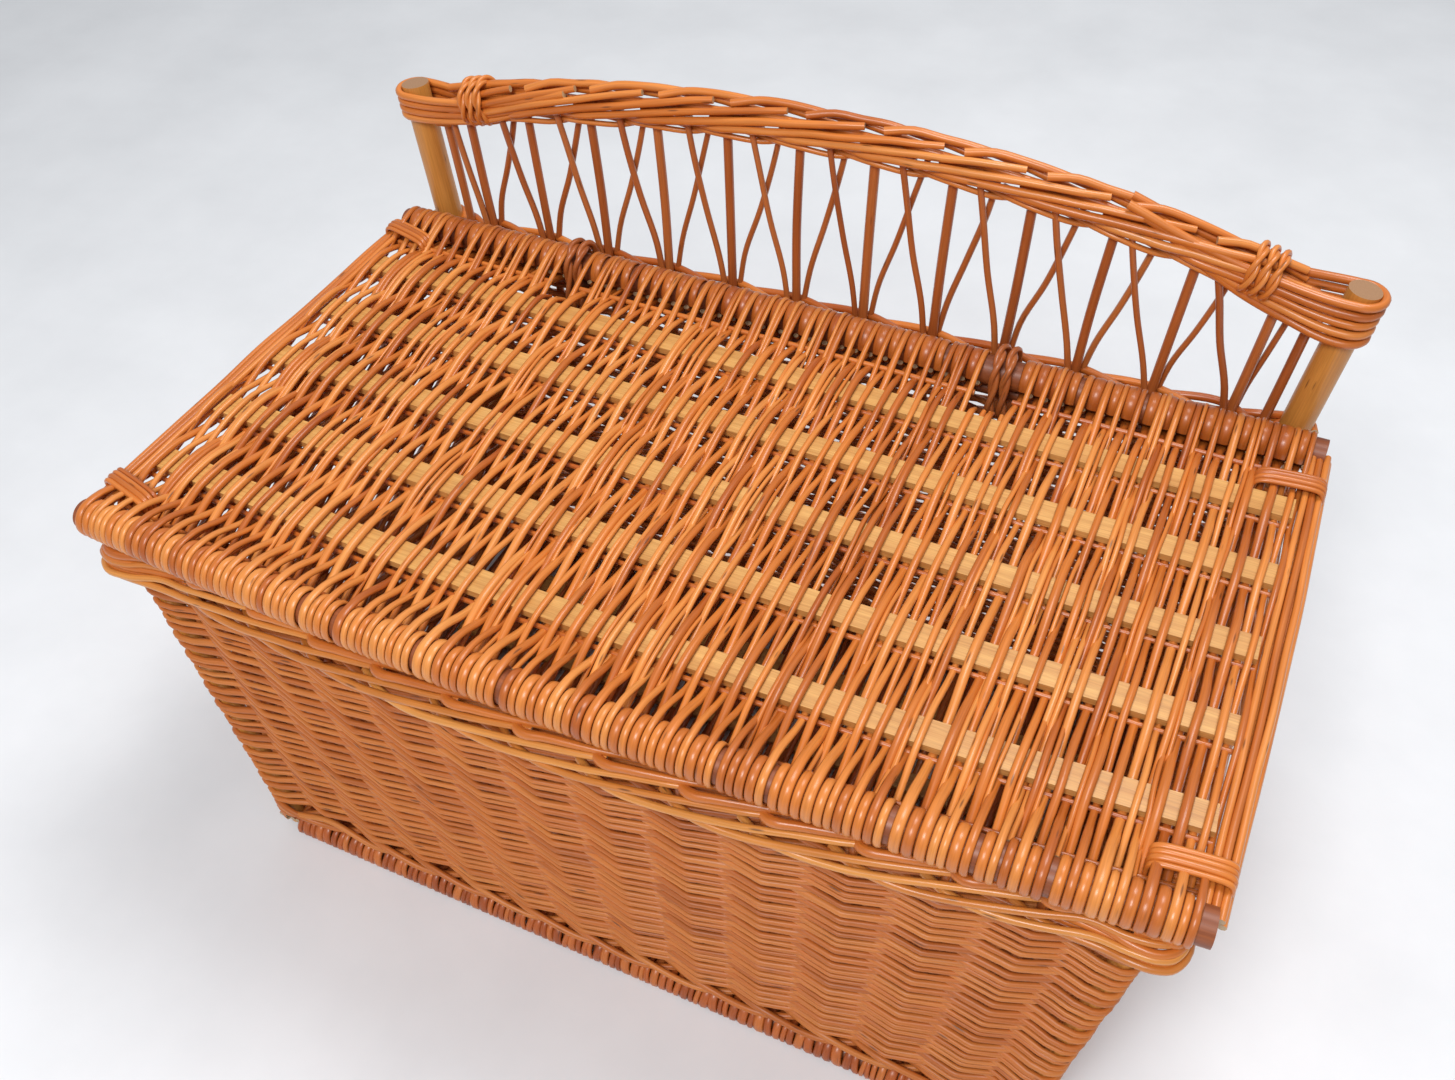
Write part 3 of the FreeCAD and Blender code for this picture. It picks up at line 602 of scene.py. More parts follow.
# Each rod of the border, as (uprights passed, millimetres outward, millimetres over the rim).
LONG_ROD = ((-0.3, -2, -6), (0.0, 7.0, -5.6), (0.3, 10.8, -5.4), (0.65, 12.0, -5.0), (1.0, 12.0, -3.0),
            (1.5, 11.2, 1.8), (1.95, 10.2, 6.0), (2.4, 8.0, 9.4), (2.95, 4.8, 12.4), (3.15, 2.5, 12.6))
BUTT_ROD = ((-0.1, 2.0, 12.0), (-0.03, 5.5, 12.8), (0.05, 7.0, 13.8), (0.3, 6.0, 14.8),
            (0.95, 1.2, 15.6), (1.5, -3.5, 15.0), (2.1, -7.0, 13.0), (2.8, -8.6, 6))
LINING_ROD = ((0, -8.5, -3), (0.6, -9.6, 1.5), (1.3, -10.0, 4.5), (2.0, -9.2, 8.5), (2.7, -5.5, 12.5))


def rim_rod(bundle, points, start, steps, radius, butt, shade):
    """A border rod along its steps, butt times as thick at its start."""
    stops, outs, ups = (np.array(part, float) for part in zip(*steps))
    places = [start + stop for stop in stops]
    for corner in [corner for corner in RIM_CORNERS if places[0] < corner < places[-1]]:
        places = [place for place in places if abs(place - corner) > 0.22]
        places += [corner + stop for stop in CORNER_STOPS]
    route = []
    reach = []
    for place in sorted(places):
        if RIM_FIRST <= place <= RIM_LAST:
            passed = place - start
            out = (np.interp(passed, stops, outs) + wobble(0.4)) * MM
            height = RIM_Z + (np.interp(passed, stops, ups) + wobble(0.4)) * MM
            route.append(beside(points, place, out, height, RIM_BULGE))
            reach.append(passed)
    if len(route) > 2:
        width = radius * np.interp(reach, (0, 0.6, 3.0), (butt, 1.05, 0.85))
        bundle.add(route, width, spacing=5 * MM, shade=shade)


def rolled_rim():
    """The rolled border of the front and the two sides.

    Each long rod starts low and outside, climbs to the right for three uprights and ends under the
    bent butt of another, which runs on upward and inward. Thick rods line the inside, and three
    more fill each front corner."""
    points = ring_at(RIM_Z)[0]
    upper = Bundle(10)
    lower = Bundle(10)
    for start in range(BACK_LEFT - 2, COUNT + BACK_RIGHT):
        first = start + wobble(0.06)
        rim_rod(lower, points, first, LONG_ROD, random.uniform(2.35, 2.65) * MM, 1.1,
                random.uniform(0.25, 0.95))
        rim_rod(upper, points, first + 0.1, BUTT_ROD, random.uniform(2.2, 2.5) * MM, 1.5,
                random.uniform(0.15, 0.6))
        rim_rod(upper, points, first, LINING_ROD, 2.7 * MM, 1.0, random.uniform(0.1, 0.6))
    for corner in (COUNT, COUNT + FRONT_RIGHT):
        for up in (-2, 3, 8):
            filler = ((-0.9, 3, up - 3), (-0.4, 7, up - 1), (0.0, 8.5, up), (0.4, 7, up + 1),
                      (0.9, 3, up + 3))
            rim_rod(upper, points, corner, filler, 2.7 * MM, 1.0, 0.4)
    upper.piece("rim_upper_rods", "basket", LID_WILLOW, "willow", "rim_border_left", "rim_border_right")
    lower.piece("rim_lower_rods", "basket", GOLDEN, "willow_golden", "rim_border_front")


def back_rim():
    """The back's border and the twined rods at the backrest's foot."""
    border = Bundle(8)
    for rise in (1, 9):
        waling(border, (0.5 * MM, 3.2 * MM, -2.6 * MM), RIM_Z + rise * MM, BACK_RIGHT, BACK_LEFT, 3 * MM)
    border.piece("rim_back_rods", "basket", LID_WILLOW, "willow", "rim_border_back", "rim_wrap_left",
                 "rim_wrap_right")
    twined = Bundle(8)
    for rise, radius in ((19, 3.1), (28, 3.0)):
        waling(twined, (0.5 * MM, 3 * MM, -2.5 * MM), RIM_Z + rise * MM, BACK_RIGHT, BACK_LEFT,
               radius * MM, shades=(0.0, 0.5))
    twined.piece("backrest_twined_rods", "basket", LID_WILLOW, "willow_dark", "backrest_foot_rods")


# ---------------------------------------------------------------- posts, sticks and stakes

def standing_wood():
    """The posts with their sawn tops, the corner sticks and the stakes."""
    rounds = Bundle(28)
    for low, high in posts:
        spots = [low + (high - low) * share for share in np.linspace(0, 1, 12)]
        rounds.add(spots, POST_RADIUS * (1 + wobble(0.012, 12)), across=(0, 1, 0), spacing=12 * MM,
                   shade=0.5)
    rounds.piece("back_posts", "basket", POST, "post_wood", "back_post_left", "back_post_right")
    sticks = Bundle(16)
    for low, high in front_sticks:
        sticks.add([low, (low + high) / 2, high], STICK_RADIUS, across=(0, 1, 0), shade=0.6)
    sticks.piece("front_corner_sticks", "basket", POST, "post_wood", "corner_stick_left",
                 "corner_stick_right")
    stakes = Bundle(10)
    for (low, high), radius in RING:
        if radius == STAKE_RADIUS and high[2] < LID_Z:
            stakes.add([low, (low + high) / 2, high], STAKE_RADIUS, across=(0, 1, 0), spacing=30 * MM)
    stakes.piece("wall_stakes", "basket", RUSSET, "willow", "front_stakes", "left_stakes", "right_stakes")


# ---------------------------------------------------------------- the backrest

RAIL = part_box("backrest_rail")
RAIL_TILT = (posts[0][1] - posts[0][0])[1] / (posts[0][1] - posts[0][0])[2]
RAIL_HALF = 343 * MM
RAIL_TOP_Z = RAIL[1].z - 13 * MM
RAIL_BOW = 47 * MM
UPRIGHT_FIRST_X = at_height(uprights[1], RAIL_TOP_Z)[0]
UPRIGHT_PITCH = (at_height(uprights[-2], RAIL_TOP_Z)[0] - UPRIGHT_FIRST_X) / (len(uprights) - 3)

# Each rod of the rail, as (pitches passed, millimetres back, millimetres over its middle line).
CLIMBING_ROD = ((0, -0.5, -9.5), (0.15, -6.5, -9.6), (0.8, -8.6, -6.2), (1.6, -9, -0.8), (2.4, -8, 5),
                (2.9, -6, 8.6), (3.25, -2, 9.8))
FALLING_ROD = ((0, -3, 9.6), (0.2, 1.6, 12.4), (0.9, 5.2, 11.2), (1.7, 8.2, 5.5), (2.5, 8.6, -1.5),
               (3.2, 6, -7.5), (3.4, 1, -9))
CORE_ROD = ((0, 1, -3), (1.5, -1, 3), (3, 1, -1))


LASHING_X = 302 * MM
LEAN_FOOT = RIM_Z + 30 * MM
LEAN_LIMIT = 330 * MM
LEAN = ((0, 0.1), (0.2, 0.23), (0.5, 0.56), (0.8, 0.84), (1, 1))  # (share of the height, of the lean)


def back_y(height):
    """The middle of the leaning back at a height."""
    low, high = posts[0]
    return low[1] + (height - low[2]) * RAIL_TILT


def rail_z(x):
    """The height of the rail's middle line: an arc over the uprights."""
    ring = (RAIL_HALF ** 2 + RAIL_BOW ** 2) / (2 * RAIL_BOW)
    return RAIL_TOP_Z - ring + math.sqrt(ring ** 2 - min(abs(x), RAIL_HALF) ** 2)


def rail_spot(x, across, up):
    """A point of the rail's bundle: across is towards the back."""
    height = rail_z(x) + up
    return np.array([x, back_y(height) + across, height])


def rail_rod(bundle, start, steps, radius, shade):
    """A rod of the rail along its steps."""
    stops, backs, ups = zip(*steps)
    route = []
    reach = []
    for passed in np.linspace(0, stops[-1], 11):
        x = start + passed * UPRIGHT_PITCH
        if abs(x) <= RAIL_HALF - 3 * MM:
            back = (np.interp(passed, stops, backs) + wobble(0.5)) * MM
            up = (np.interp(passed, stops, ups) + wobble(0.5)) * MM
            route.append(rail_spot(x, back, up))
            reach.append(passed)
    if len(route) > 2:
        width = radius * np.interp(reach, (0, 0.4, 3.2), (1.05, 1.05, 0.85))
        bundle.add(route, width, spacing=8 * MM, shade=shade)


def rail():
    """The rolled rail: rods that climb its front over three uprights, rods that come down behind,
    rods in its middle, and two thin rods twined from upright to upright under it."""
    bundle = Bundle(10)
    for number in range(-4, len(uprights)):
        start = UPRIGHT_FIRST_X + (number - 0.4) * UPRIGHT_PITCH
        rail_rod(bundle, start, CLIMBING_ROD, random.uniform(2.8, 3.3) * MM, random.uniform(0.25, 1.0))
        rail_rod(bundle, start + 0.5 * UPRIGHT_PITCH, FALLING_ROD, random.uniform(2.7, 3.2) * MM,
                 random.uniform(0.1, 0.9))
        rail_rod(bundle, start + 0.2 * UPRIGHT_PITCH, CORE_ROD, 3 * MM, random.uniform(0.1, 0.6))
    for hand in (-1, 1):
        bundle.add(twining_route(hand), 2.1 * MM, spacing=6 * MM, shade=0.7)
    bundle.piece("backrest_rail_rods", "basket", LID_WILLOW, "willow_golden", "backrest_rail")


def twining_route(hand):
    """A thin rod's way under the rail, in front of one upright and behind the next."""
    route = []
    for number, axis in enumerate(uprights):
        head = at_height(axis, RAIL_TOP_Z)
        side = hand * (1 if number % 2 else -1)
        route.append(rail_spot(head[0], side * 5.8 * MM, -14.2 * MM + wobble(0.5 * MM)))
        if number + 1 < len(uprights):
            gap = (at_height(uprights[number + 1], RAIL_TOP_Z)[0] - head[0]) / 2
            route.append(rail_spot(head[0] + gap, side * 1.2 * MM, -16.4 * MM + side * 1.2 * MM))
    return route


def rail_approach(side, hand, turn, level):
    """The points that lead a rod from inside the rail to a post's head, in front or behind."""
    inner = 95 * MM + turn * 12 * MM
    spots = []
    for back in (inner, inner * 0.6, inner * 0.3):
        share = back / inner
        spot = rail_spot(side * (RAIL_HALF + 8 * MM - back), hand * (6 + 4 * (1 - share)) * MM, 0)
        spot[2] = level * (1 - share) + (spot[2] + (turn - 1.5) * 5 * MM) * share
        spots.append(spot)
    return spots


def rail_ends():
    """Rods that run from the rail round each post's head and back into the rail."""
    bundle = Bundle(10)
    for side, axis, count, lowest, pitch in ((-1, posts[0], 4, 434 * MM, 5.9 * MM),
                                             (1, posts[1], 5, 423 * MM, 7.3 * MM)):
        for turn in range(count):
            radius = random.uniform(2.7, 3.1) * MM
            level = lowest + turn * pitch
            post = at_height(axis, level)
            route = rail_approach(side, -1, turn, level)
            for angle in range(-100, 101, 25):
                around = math.radians(angle)
                out = np.array([side * math.cos(around), math.sin(around), 0])
                route.append(post + out * (POST_RADIUS + radius))
            route += rail_approach(side, 1, turn, level)[::-1]
            bundle.add(route, radius, spacing=5 * MM, shade=random.uniform(0.2, 0.8))
    bundle.piece("rail_end_turns", "basket", LID_WILLOW, "willow_golden", "rail_end_wrap_left",
                 "rail_end_wrap_right")


def twisted_turn(bundle, centre_line, radius, twist, turns):
    """Two rods twisted round each other along a line of points; twist is their reach from it."""
    line = smooth_line(centre_line, 4 * MM)[0]
    side, lift = cross_axes(line, (1, 0, 0))
    angle = np.linspace(0, turns * 2 * math.pi, len(line))[:, None]
    shade = random.uniform(0.2, 0.7)
    for half in (0, math.pi):
        route = line + (side * np.cos(angle + half) + lift * np.sin(angle + half)) * twist
        bundle.add(route, radius, across=(1, 0, 0), spacing=4 * MM, shade=shade + wobble(0.1))


def rail_lashings():
    """Three twisted turns round the rail beside each post."""
    bundle = Bundle(8)
    for side in (-1, 1):
        for number in (-1, 0, 1):
            x = side * (LASHING_X + number * 7.2 * MM)
            ring = []
            for angle in range(-200, 181, 20):
                turn = math.radians(angle)
                drift = side * 3 * MM * math.cos(turn) + angle / 360 * 4 * MM
                spot = rail_spot(x + drift, 14.6 * MM * math.sin(turn), 0)
                spot[2] += 16.6 * MM * math.cos(turn)
                ring.append(spot)
            twisted_turn(bundle, ring, 1.9 * MM, 1.7 * MM, 3)
    bundle.piece("rail_lashings", "basket", LID_WILLOW, "willow_golden", "rail_tie_left", "rail_tie_right")


def openwork():
    """The uprights and, from each one's foot, a thin rod leaning out to each side."""
    thick = Bundle(10)
    for low, high in uprights:
        top = high + (high - low) / (high[2] - low[2]) * (9 * MM)
        spots = [low + (top - low) * share + wobble(1.0 * MM, 3) * (1, 0.3, 0)
                 for share in np.linspace(0, 1, 7)]
        thick.add(spots, 3.6 * MM * (1 + wobble(0.05)), across=(0, 1, 0), spacing=12 * MM,
                  shade=random.uniform(0.2, 0.9))
    thick.piece("backrest_uprights", "basket", RUSSET, "willow_dark", "back_uprights")
    thin = Bundle(8)
    for axis in uprights[1:-1]:
        for hand in (-1, 1):
            route = leaning_route(at_height(axis, LEAN_FOOT)[0], hand)
            thin.add(route, random.uniform(2.3, 2.7) * MM, across=(0, 1, 0), spacing=9 * MM,
                     shade=random.uniform(0.3, 1.0))
    thin.piece("backrest_leaning_rods", "basket", RUSSET, "willow_dark", "backrest_cross_rods")


def leaning_route(x, hand):
    """A thin rod's way from an upright's foot up to the rail, leaning to one side."""
    reach = random.uniform(32, 40) * MM
    top_x = max(-LEAN_LIMIT, min(LEAN_LIMIT, x + hand * reach))
    top = rail_z(top_x) - 5 * MM
    route = []
    for share, lean in LEAN:
        height = LEAN_FOOT + (top - LEAN_FOOT) * share
        at = x + (top_x - x) * lean + wobble(0.8 * MM)
        route.append(np.array([at, back_y(height) + hand * 5.6 * MM * (1 - 0.3 * share), height]))
    return route


# ---------------------------------------------------------------- the lid

SLAT_HALF_WIDTH = 9.5 * MM
SLAT_HALF_THICK = 2.5 * MM
WRAP_THICK = 1.5 * MM
WRAP_REACH = BAR_RADIUS + WRAP_THICK
WEAVE_LEFT, WEAVE_RIGHT = -371.5 * MM, 367 * MM
NOTCH_HALF = 11 * MM
LOOPS = [(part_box(f"hinge_loop_{side}")[0].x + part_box(f"hinge_loop_{side}")[1].x) / 2
         for side in ("left", "right")]
FRONT_BAR_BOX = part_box("lid_front_bar")
LID_BOW = FRONT_BAR_BOX[1].y - FRONT_BAR_BOX[0].y - 2 * BAR_RADIUS
FRONT_END_Y = FRONT_BAR_BOX[0].y + LID_BOW + BAR_RADIUS
SIDE_ROD_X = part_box("lid_side_rods_right")[0].x + 1.6 * MM
WEAVERS = 119
TURN_SHARE = 0.95
ROD_SHARE = 0.9
CROSS_ROD_DROP = 3.4 * MM
# Each rod along the lid's sides, in millimetres: distance out, height, bulge at its middle.
SIDE_RODS = ((0.2, 3.2, 0), (4.6, 2.6, 0.8), (8.6, 1.6, 2.2), (2.4, -2.6, 0), (6.8, -2.6, 1.4),
             (10.8, -3.4, 2.6))


def slat_shape(number):
    """A slat's middle at its ends, its bow and half its length."""
    low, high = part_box(f"lid_slat_{number}")
    return high.y - SLAT_HALF_WIDTH, high.y - low.y - 2 * SLAT_HALF_WIDTH, high.x


SLATS = [slat_shape(number) for number in range(1, 6)]


class Strand:
    """A weaver's points, with half its width and half its thickness at each."""

    def __init__(self):
        self.points = []
        self.widths = []
        self.depths = []

    def put(self, spots, width, depth):
        """Runs on through more points, all of one width and thickness."""
        self.points += spots
        self.widths += [width] * len(spots)
        self.depths += [depth] * len(spots)


def front_y(x):
    """The front bar's axis at a place across the lid."""
    return FRONT_END_Y - LID_BOW * (1 - (x / BAR_HALF) ** 2)


def slat_y(slat, x):
    """A slat's middle at a place across the lid."""
    end, bow, half = slat
    return end - bow * (1 - min(1.0, abs(x) / half) ** 2)


def round_bar(x, y, angles, reach):
    """Points round a bar, by angle: 0 is behind it, 90 over it and 180 in front."""
    return [np.array([x, y + reach * math.cos(math.radians(angle)),
                      LID_Z + reach * math.sin(math.radians(angle))]) for angle in angles]


def front_turn(strand, x, half_width, over_front):
    """A weaver's turn round the front bar, ending over it or under it."""
    rod = half_width * ROD_SHARE
    y = front_y(x)
    if over_front:
        strand.put(round_bar(x, y, (335, 300, 270, 240, 210, 180, 150, 120, 95), WRAP_REACH), half_width,
                   WRAP_THICK)
        strand.put(round_bar(x, y + 2 * MM, (68,), WRAP_REACH + 0.6 * MM), half_width, WRAP_THICK * 1.2)
    else:
        strand.put(round_bar(x, y, (-10, 20, 55, 90, 120, 150, 180, 210, 240, 270, 295), WRAP_REACH),
                   half_width, WRAP_THICK)
        strand.put([np.array([x, y + WRAP_REACH + 5 * MM, LID_Z - 7.5 * MM])], rod, rod * 0.9)


def across_slats(strand, x, rod, over):
    """A weaver's way over and under the slats, drifting a little; True if it ends on top."""
    drift = wobble(0.5 * MM)
    for slat in SLATS:
        middle = slat_y(slat, x)
        clear = (SLAT_HALF_THICK + rod * 0.95) * (1 if over else -1)
        for along in (-11 * MM, 8 * MM):
            shift = drift + wobble(0.35 * MM)
            lift = clear * (1.0 if along > 0 else 0.97)
            strand.put([np.array([x + shift, middle + along, LID_Z + lift])], rod, rod * 0.92)
        over = not over
        drift = min(max(drift + wobble(0.6 * MM), -0.9 * MM), 0.9 * MM)
    return over


def back_turn(strand, x, half_width, over):
    """A weaver's turn round the back bar; at a hinge it stops short of the notch."""
    rod = half_width * ROD_SHARE
    if any(abs(x - loop) < NOTCH_HALF for loop in LOOPS):
        strand.put([np.array([x, HINGE_Y - 42 * MM, LID_Z - 4 * MM])], rod * 0.6, rod * 0.6)
    elif over:
        strand.put(round_bar(x, HINGE_Y, (118,), WRAP_REACH + 0.8 * MM), half_width * 0.8,
                   WRAP_THICK * 1.3)
        strand.put(round_bar(x, HINGE_Y, (90, 60, 30, 0, -30, -60, -90, -130, -155), WRAP_REACH),
                   half_width * 0.8, WRAP_THICK * 1.2)
    else:
        strand.put([np.array([x, HINGE_Y - WRAP_REACH - 5 * MM, LID_Z - 7.5 * MM])], rod, rod * 0.9)
        strand.put(round_bar(x, HINGE_Y, (-115, -90, -60, -30, 0, 30, 60, 90, 125, 160, 190), WRAP_REACH),
                   half_width * 1.35, WRAP_THICK)


def lid_row(bundle, x, half_width, over_front, shade):
    """One weaver: round the front bar, over and under the slats, and round the back bar."""
    strand = Strand()
    front_turn(strand, x, half_width, over_front)
    over = across_slats(strand, x, half_width * ROD_SHARE, not over_front)
    back_turn(strand, x, half_width, over)
    place = np.array([point[1] for point in strand.points])
    # Towards the back bar the rods darken, most on those that turn under it: painted shade, with some of
    # the turns' own redder tone.
    back_tone_and_painted_shade = 0.7 if over else 0.2
    shades = shade * np.interp(place, (HINGE_Y - 50 * MM, HINGE_Y - 15 * MM), (1.0, back_tone_and_painted_shade))
    bundle.add(strand.points, strand.widths, strand.depths, across=(1, 0, 0), spacing=7 * MM,
               shade=shades)


def companion(bundle, x, over_front):
    """A thin rod that runs beside a weaver, from behind the front bar to the back bar."""
    rod = random.uniform(1.4, 1.95) * MM
    over = not over_front
    start = front_y(x) + WRAP_REACH
    level = 5 * MM if over_front else -6 * MM
    points = [np.array([x, start - 3 * MM, LID_Z + level])]
    for slat in SLATS:
        clear = (SLAT_HALF_THICK + rod) * (1 if over else -1)
        for along in (-10 * MM, 9 * MM):
            points.append(np.array([x + wobble(0.7 * MM), slat_y(slat, x) + along, LID_Z + clear]))
        over = not over
    if any(abs(x - loop) < NOTCH_HALF + 2 * MM for loop in LOOPS):
        points.append(np.array([x, HINGE_Y - 42 * MM, LID_Z - 4 * MM]))
    elif over:
        points += round_bar(x, HINGE_Y, (118, 90, 60, 30, 0, -30, -60), WRAP_REACH + 1.2 * MM)
    else:
        points.append(np.array([x, HINGE_Y - WRAP_REACH + 3 * MM, LID_Z - 6 * MM]))
    bundle.add(points, rod, across=(1, 0, 0), spacing=9 * MM, shade=random.uniform(0.2, 1.0))


def lid_weave():
    """The weavers in two pieces: those over the front bar and those under it."""
    widths = random.uniform(0.82, 1.2, WEAVERS)
    gaps = np.where(random.uniform(size=WEAVERS) < 0.1, random.uniform(0.2, 0.55, WEAVERS), 0.0)
    scale = (WEAVE_RIGHT - WEAVE_LEFT) / (widths.sum() + gaps.sum())
    edges = WEAVE_LEFT + np.concatenate([[0], np.cumsum(widths + gaps)]) * scale
    bundles = [Bundle(8), Bundle(8)]
    thin = Bundle(6)
    for number in range(WEAVERS):
        half_width = widths[number] * scale / 2
        x = edges[number] + half_width
        over_front = number % 2 == 0
        lid_row(bundles[number % 2], x, half_width * TURN_SHARE, over_front, random.uniform(0.05, 1.0))
        if random.uniform() < 0.38 and 1 < number < WEAVERS - 2:
            hand = random.choice([-1, 1])
            companion(thin, x + hand * (half_width * ROD_SHARE + 1.3 * MM), over_front)
    bundles[0].piece("lid_weavers_over_front", "lid", LID_WILLOW, "willow", "lid_weave", "lid_front_wraps")
    bundles[1].piece("lid_weavers_under_front", "lid", LID_WILLOW, "willow", "lid_weave", "lid_back_wraps")
    thin.piece("lid_thin_weavers", "lid", LID_WILLOW, "willow", "lid_weave")


def lid_cross_rods():
    """The thin rods beside the slats, behind the front bar and between the hinges."""
    bundle = Bundle(8)
    side = SLATS[0][2]
    places = [(end - 13.2 * MM, bow, half) for end, bow, half in SLATS]
    places.append((FRONT_END_Y + 19 * MM, 17 * MM, side))
    for line in places:
        spots = [np.array([x, slat_y(line, x) + wobble(0.3 * MM),
                           LID_Z - CROSS_ROD_DROP + wobble(0.4 * MM)])
                 for x in np.linspace(-line[2], line[2], 26)]
        bundle.add(spots, 1.8 * MM, spacing=16 * MM, shade=random.uniform(0.0, 0.2))
    stops = [-side] + [loop + hand * (NOTCH_HALF + 3 * MM) for loop in LOOPS for hand in (-1, 1)] + [side]
    for start, end in zip(stops[::2], stops[1::2]):
        spots = [np.array([x, HINGE_Y - 29.5 * MM + wobble(0.4 * MM), LID_Z])
                 for x in np.linspace(start, end, 10)]
        bundle.add(spots, 2.1 * MM, spacing=16 * MM, shade=random.uniform(0.0, 0.4))
    bundle.piece("lid_thin_cross_rods", "lid", LID_WILLOW, "willow", "lid_thin_rods")


def flat_wood():
    """The finish of the CAD pieces that stay as they are: slats, bars and the rod at the hinge."""
    for number in range(1, 6):
        round_edges(paint(f"lid_slat_{number}", SLAT), "worn_edges", 0.5 * MM)
    for name in ("lid_front_bar", "lid_back_bar"):
        round_edges(paint(name, STICK), "rounded_ends", 1 * MM)
    paint("base_slats", SLAT)
    paint("rim_hinge_rod", STICK)


def lid_edges():
    """The rods along each side of the lid and the lashings near its corners."""
    front = front_y(BAR_HALF) + 4 * MM
    back = HINGE_Y - 4 * MM
    for side, hand in (("left", -1), ("right", 1)):
        bundle = Bundle(8)
        for out, up, bulge in SIDE_RODS:
            route = []
            for share in np.linspace(0, 1, 9):
                x = SIDE_ROD_X + (out + bulge * math.sin(math.pi * share)) * MM + wobble(0.5 * MM)
                y = front + (back - front) * share
                route.append(np.array([hand * x, y, LID_Z + up * MM + wobble(0.5 * MM)]))
            bundle.add(route, random.uniform(2.2, 2.8) * MM, spacing=9 * MM, shade=random.uniform(0.1, 0.8))
        bundle.piece(f"lid_side_bundle_{side}", "lid", LID_WILLOW, "willow", f"lid_side_rods_{side}")
        for end in ("front", "back"):
            lashing(f"lid_tie_{end}_{side}", hand)


def lashing(node, hand):
    """Four turns of willow over the side rods and the outermost weavers, lying aslant."""
    low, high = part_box(node)
    near, far = sorted((abs(low.x), abs(high.x)))
    inner = near + 10.9 * MM
    outer = far - 2.1 * MM
    middle_x = hand * (inner + outer) / 2
    half_x = (outer - inner) / 2
    middle = (low + high) / 2
    half_z = 9.6 * MM
    tilt = (5.5 if hand < 0 else 2) * MM
    bundle = Bundle(8)
    for turn in range(4):
        shift = (turn - 1.5) * 3.9 * MM
        rod = random.uniform(1.8, 2.3) * MM
        route = []
        for angle in range(-30, 391, 14):
            swing = math.radians(angle)
            across, up = (math.copysign(abs(part) ** 0.45, part)
                          for part in (math.cos(swing), math.sin(swing)))
            rise = half_z + (1.2 - abs(turn - 1.5)) * 0.8 * MM
            route.append(np.array([middle_x + across * half_x,
                                   middle.y + shift + tilt * across * hand, middle.z + up * rise]))
        bundle.add(route, rod, rod * 0.85, across=(0, 1, 0), spacing=4 * MM, shade=random.uniform(0.1, 0.6))
    bundle.piece(f"{node}_turns", "lid", LID_WILLOW, "willow", node)


def hinge_loops():
    """Two twisted turns of willow at each hinge, round the lid's back bar and the rod below it."""
    for side, x in zip(("left", "right"), LOOPS):
        low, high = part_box(f"hinge_loop_{side}")
        drop = (high.z - low.z) - (high.y - low.y)
        bundle = Bundle(8)
        for number in (-1, 1):
            reach = BAR_RADIUS + 4.8 * MM
            ring = []
            for angle in range(-100, 261, 20):
                turn = math.radians(angle)
                lift = -drop - 2 * MM if math.sin(turn) < -0.2 else 3.5 * MM * max(0.0, math.sin(turn))
                ring.append(np.array([x + number * 4.3 * MM + wobble(0.3 * MM),
                                      HINGE_Y + reach * math.cos(turn),
                                      LID_Z + reach * math.sin(turn) + lift]))
            twisted_turn(bundle, ring, 2.3 * MM, 1.8 * MM, 3.5)
        bundle.piece(f"hinge_loop_{side}_turns", "basket", RUSSET, "willow", f"hinge_loop_{side}")


# ---------------------------------------------------------------- the base

FOOT_BARS = [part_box(f"base_{end}_bar") for end in ("front", "back")]
FOOT_Z = FOOT_BARS[0][1].z - 6.5 * MM
FOOT_REACH = 9.4 * MM
FOOT_THICK = 2 * MM
FOOT_HALF = FOOT_BARS[0][1].x + 6 * MM
FOOT_PITCH = 6.2 * MM
FOOT_LINES = [(low.y + high.y) / 2 + shift
              for (low, high), shift in zip(FOOT_BARS, (-4 * MM, 2 * MM))]
FOOT_SLATS = sorted((low[1] + high[1]) / 2 for low, high in straight_rods("base_slats"))


def foot_turn(x, y, hand, lean):
    """A weaver's turn round a foot bar, flat underneath where it stands on the floor."""
    points = []
    for angle in (20, 60, 90, 120, 150, 180, 210, 240, 270, 310, 345):
        turn = math.radians(angle)
        height = max(FOOT_Z + FOOT_REACH * math.sin(turn), FOOT_THICK + 0.4 * MM)
        points.append(np.array([x + lean * math.sin(turn), y - hand * FOOT_REACH * math.cos(turn), height]))
    return points


def foot_weaver(bundle, x, half_width, over):
    """One weaver of the base: round the front bar, over and under the slats, round the back bar."""
    rod = half_width * 0.85
    lean = wobble(1.6 * MM)
    strand = Strand()
    strand.put(foot_turn(x, FOOT_LINES[0], -1, lean), half_width, FOOT_THICK)
    for line in FOOT_SLATS:
        clear = (SLAT_HALF_THICK + rod * 0.8) * (1 if over else -1)
        strand.put([np.array([x + wobble(0.5 * MM), line, FOOT_Z + clear])], rod, rod * 0.8)
        over = not over
    strand.put(foot_turn(x, FOOT_LINES[1], 1, lean)[::-1], half_width, FOOT_THICK)
    bundle.add(strand.points, strand.widths, strand.depths, across=(1, 0, 0), spacing=10 * MM,
               shade=random.uniform(0.0, 0.9))


def foot_edge_rod(bundle, x, number):
    """One plain rod beside the weavers at an end of the base."""
    points = [np.array([x, FOOT_LINES[0] - 5 * MM, FOOT_Z + 3 * MM])]
    for place, line in enumerate(FOOT_SLATS):
        clear = 2.2 * MM * (1 if (number + place) % 2 else -1)
        points.append(np.array([x + wobble(0.5 * MM), line, FOOT_Z + clear]))
    points.append(np.array([x, FOOT_LINES[1] + 5 * MM, FOOT_Z + 3 * MM]))
    bundle.add(points, 2.6 * MM, 2.2 * MM, across=(1, 0, 0), spacing=10 * MM)


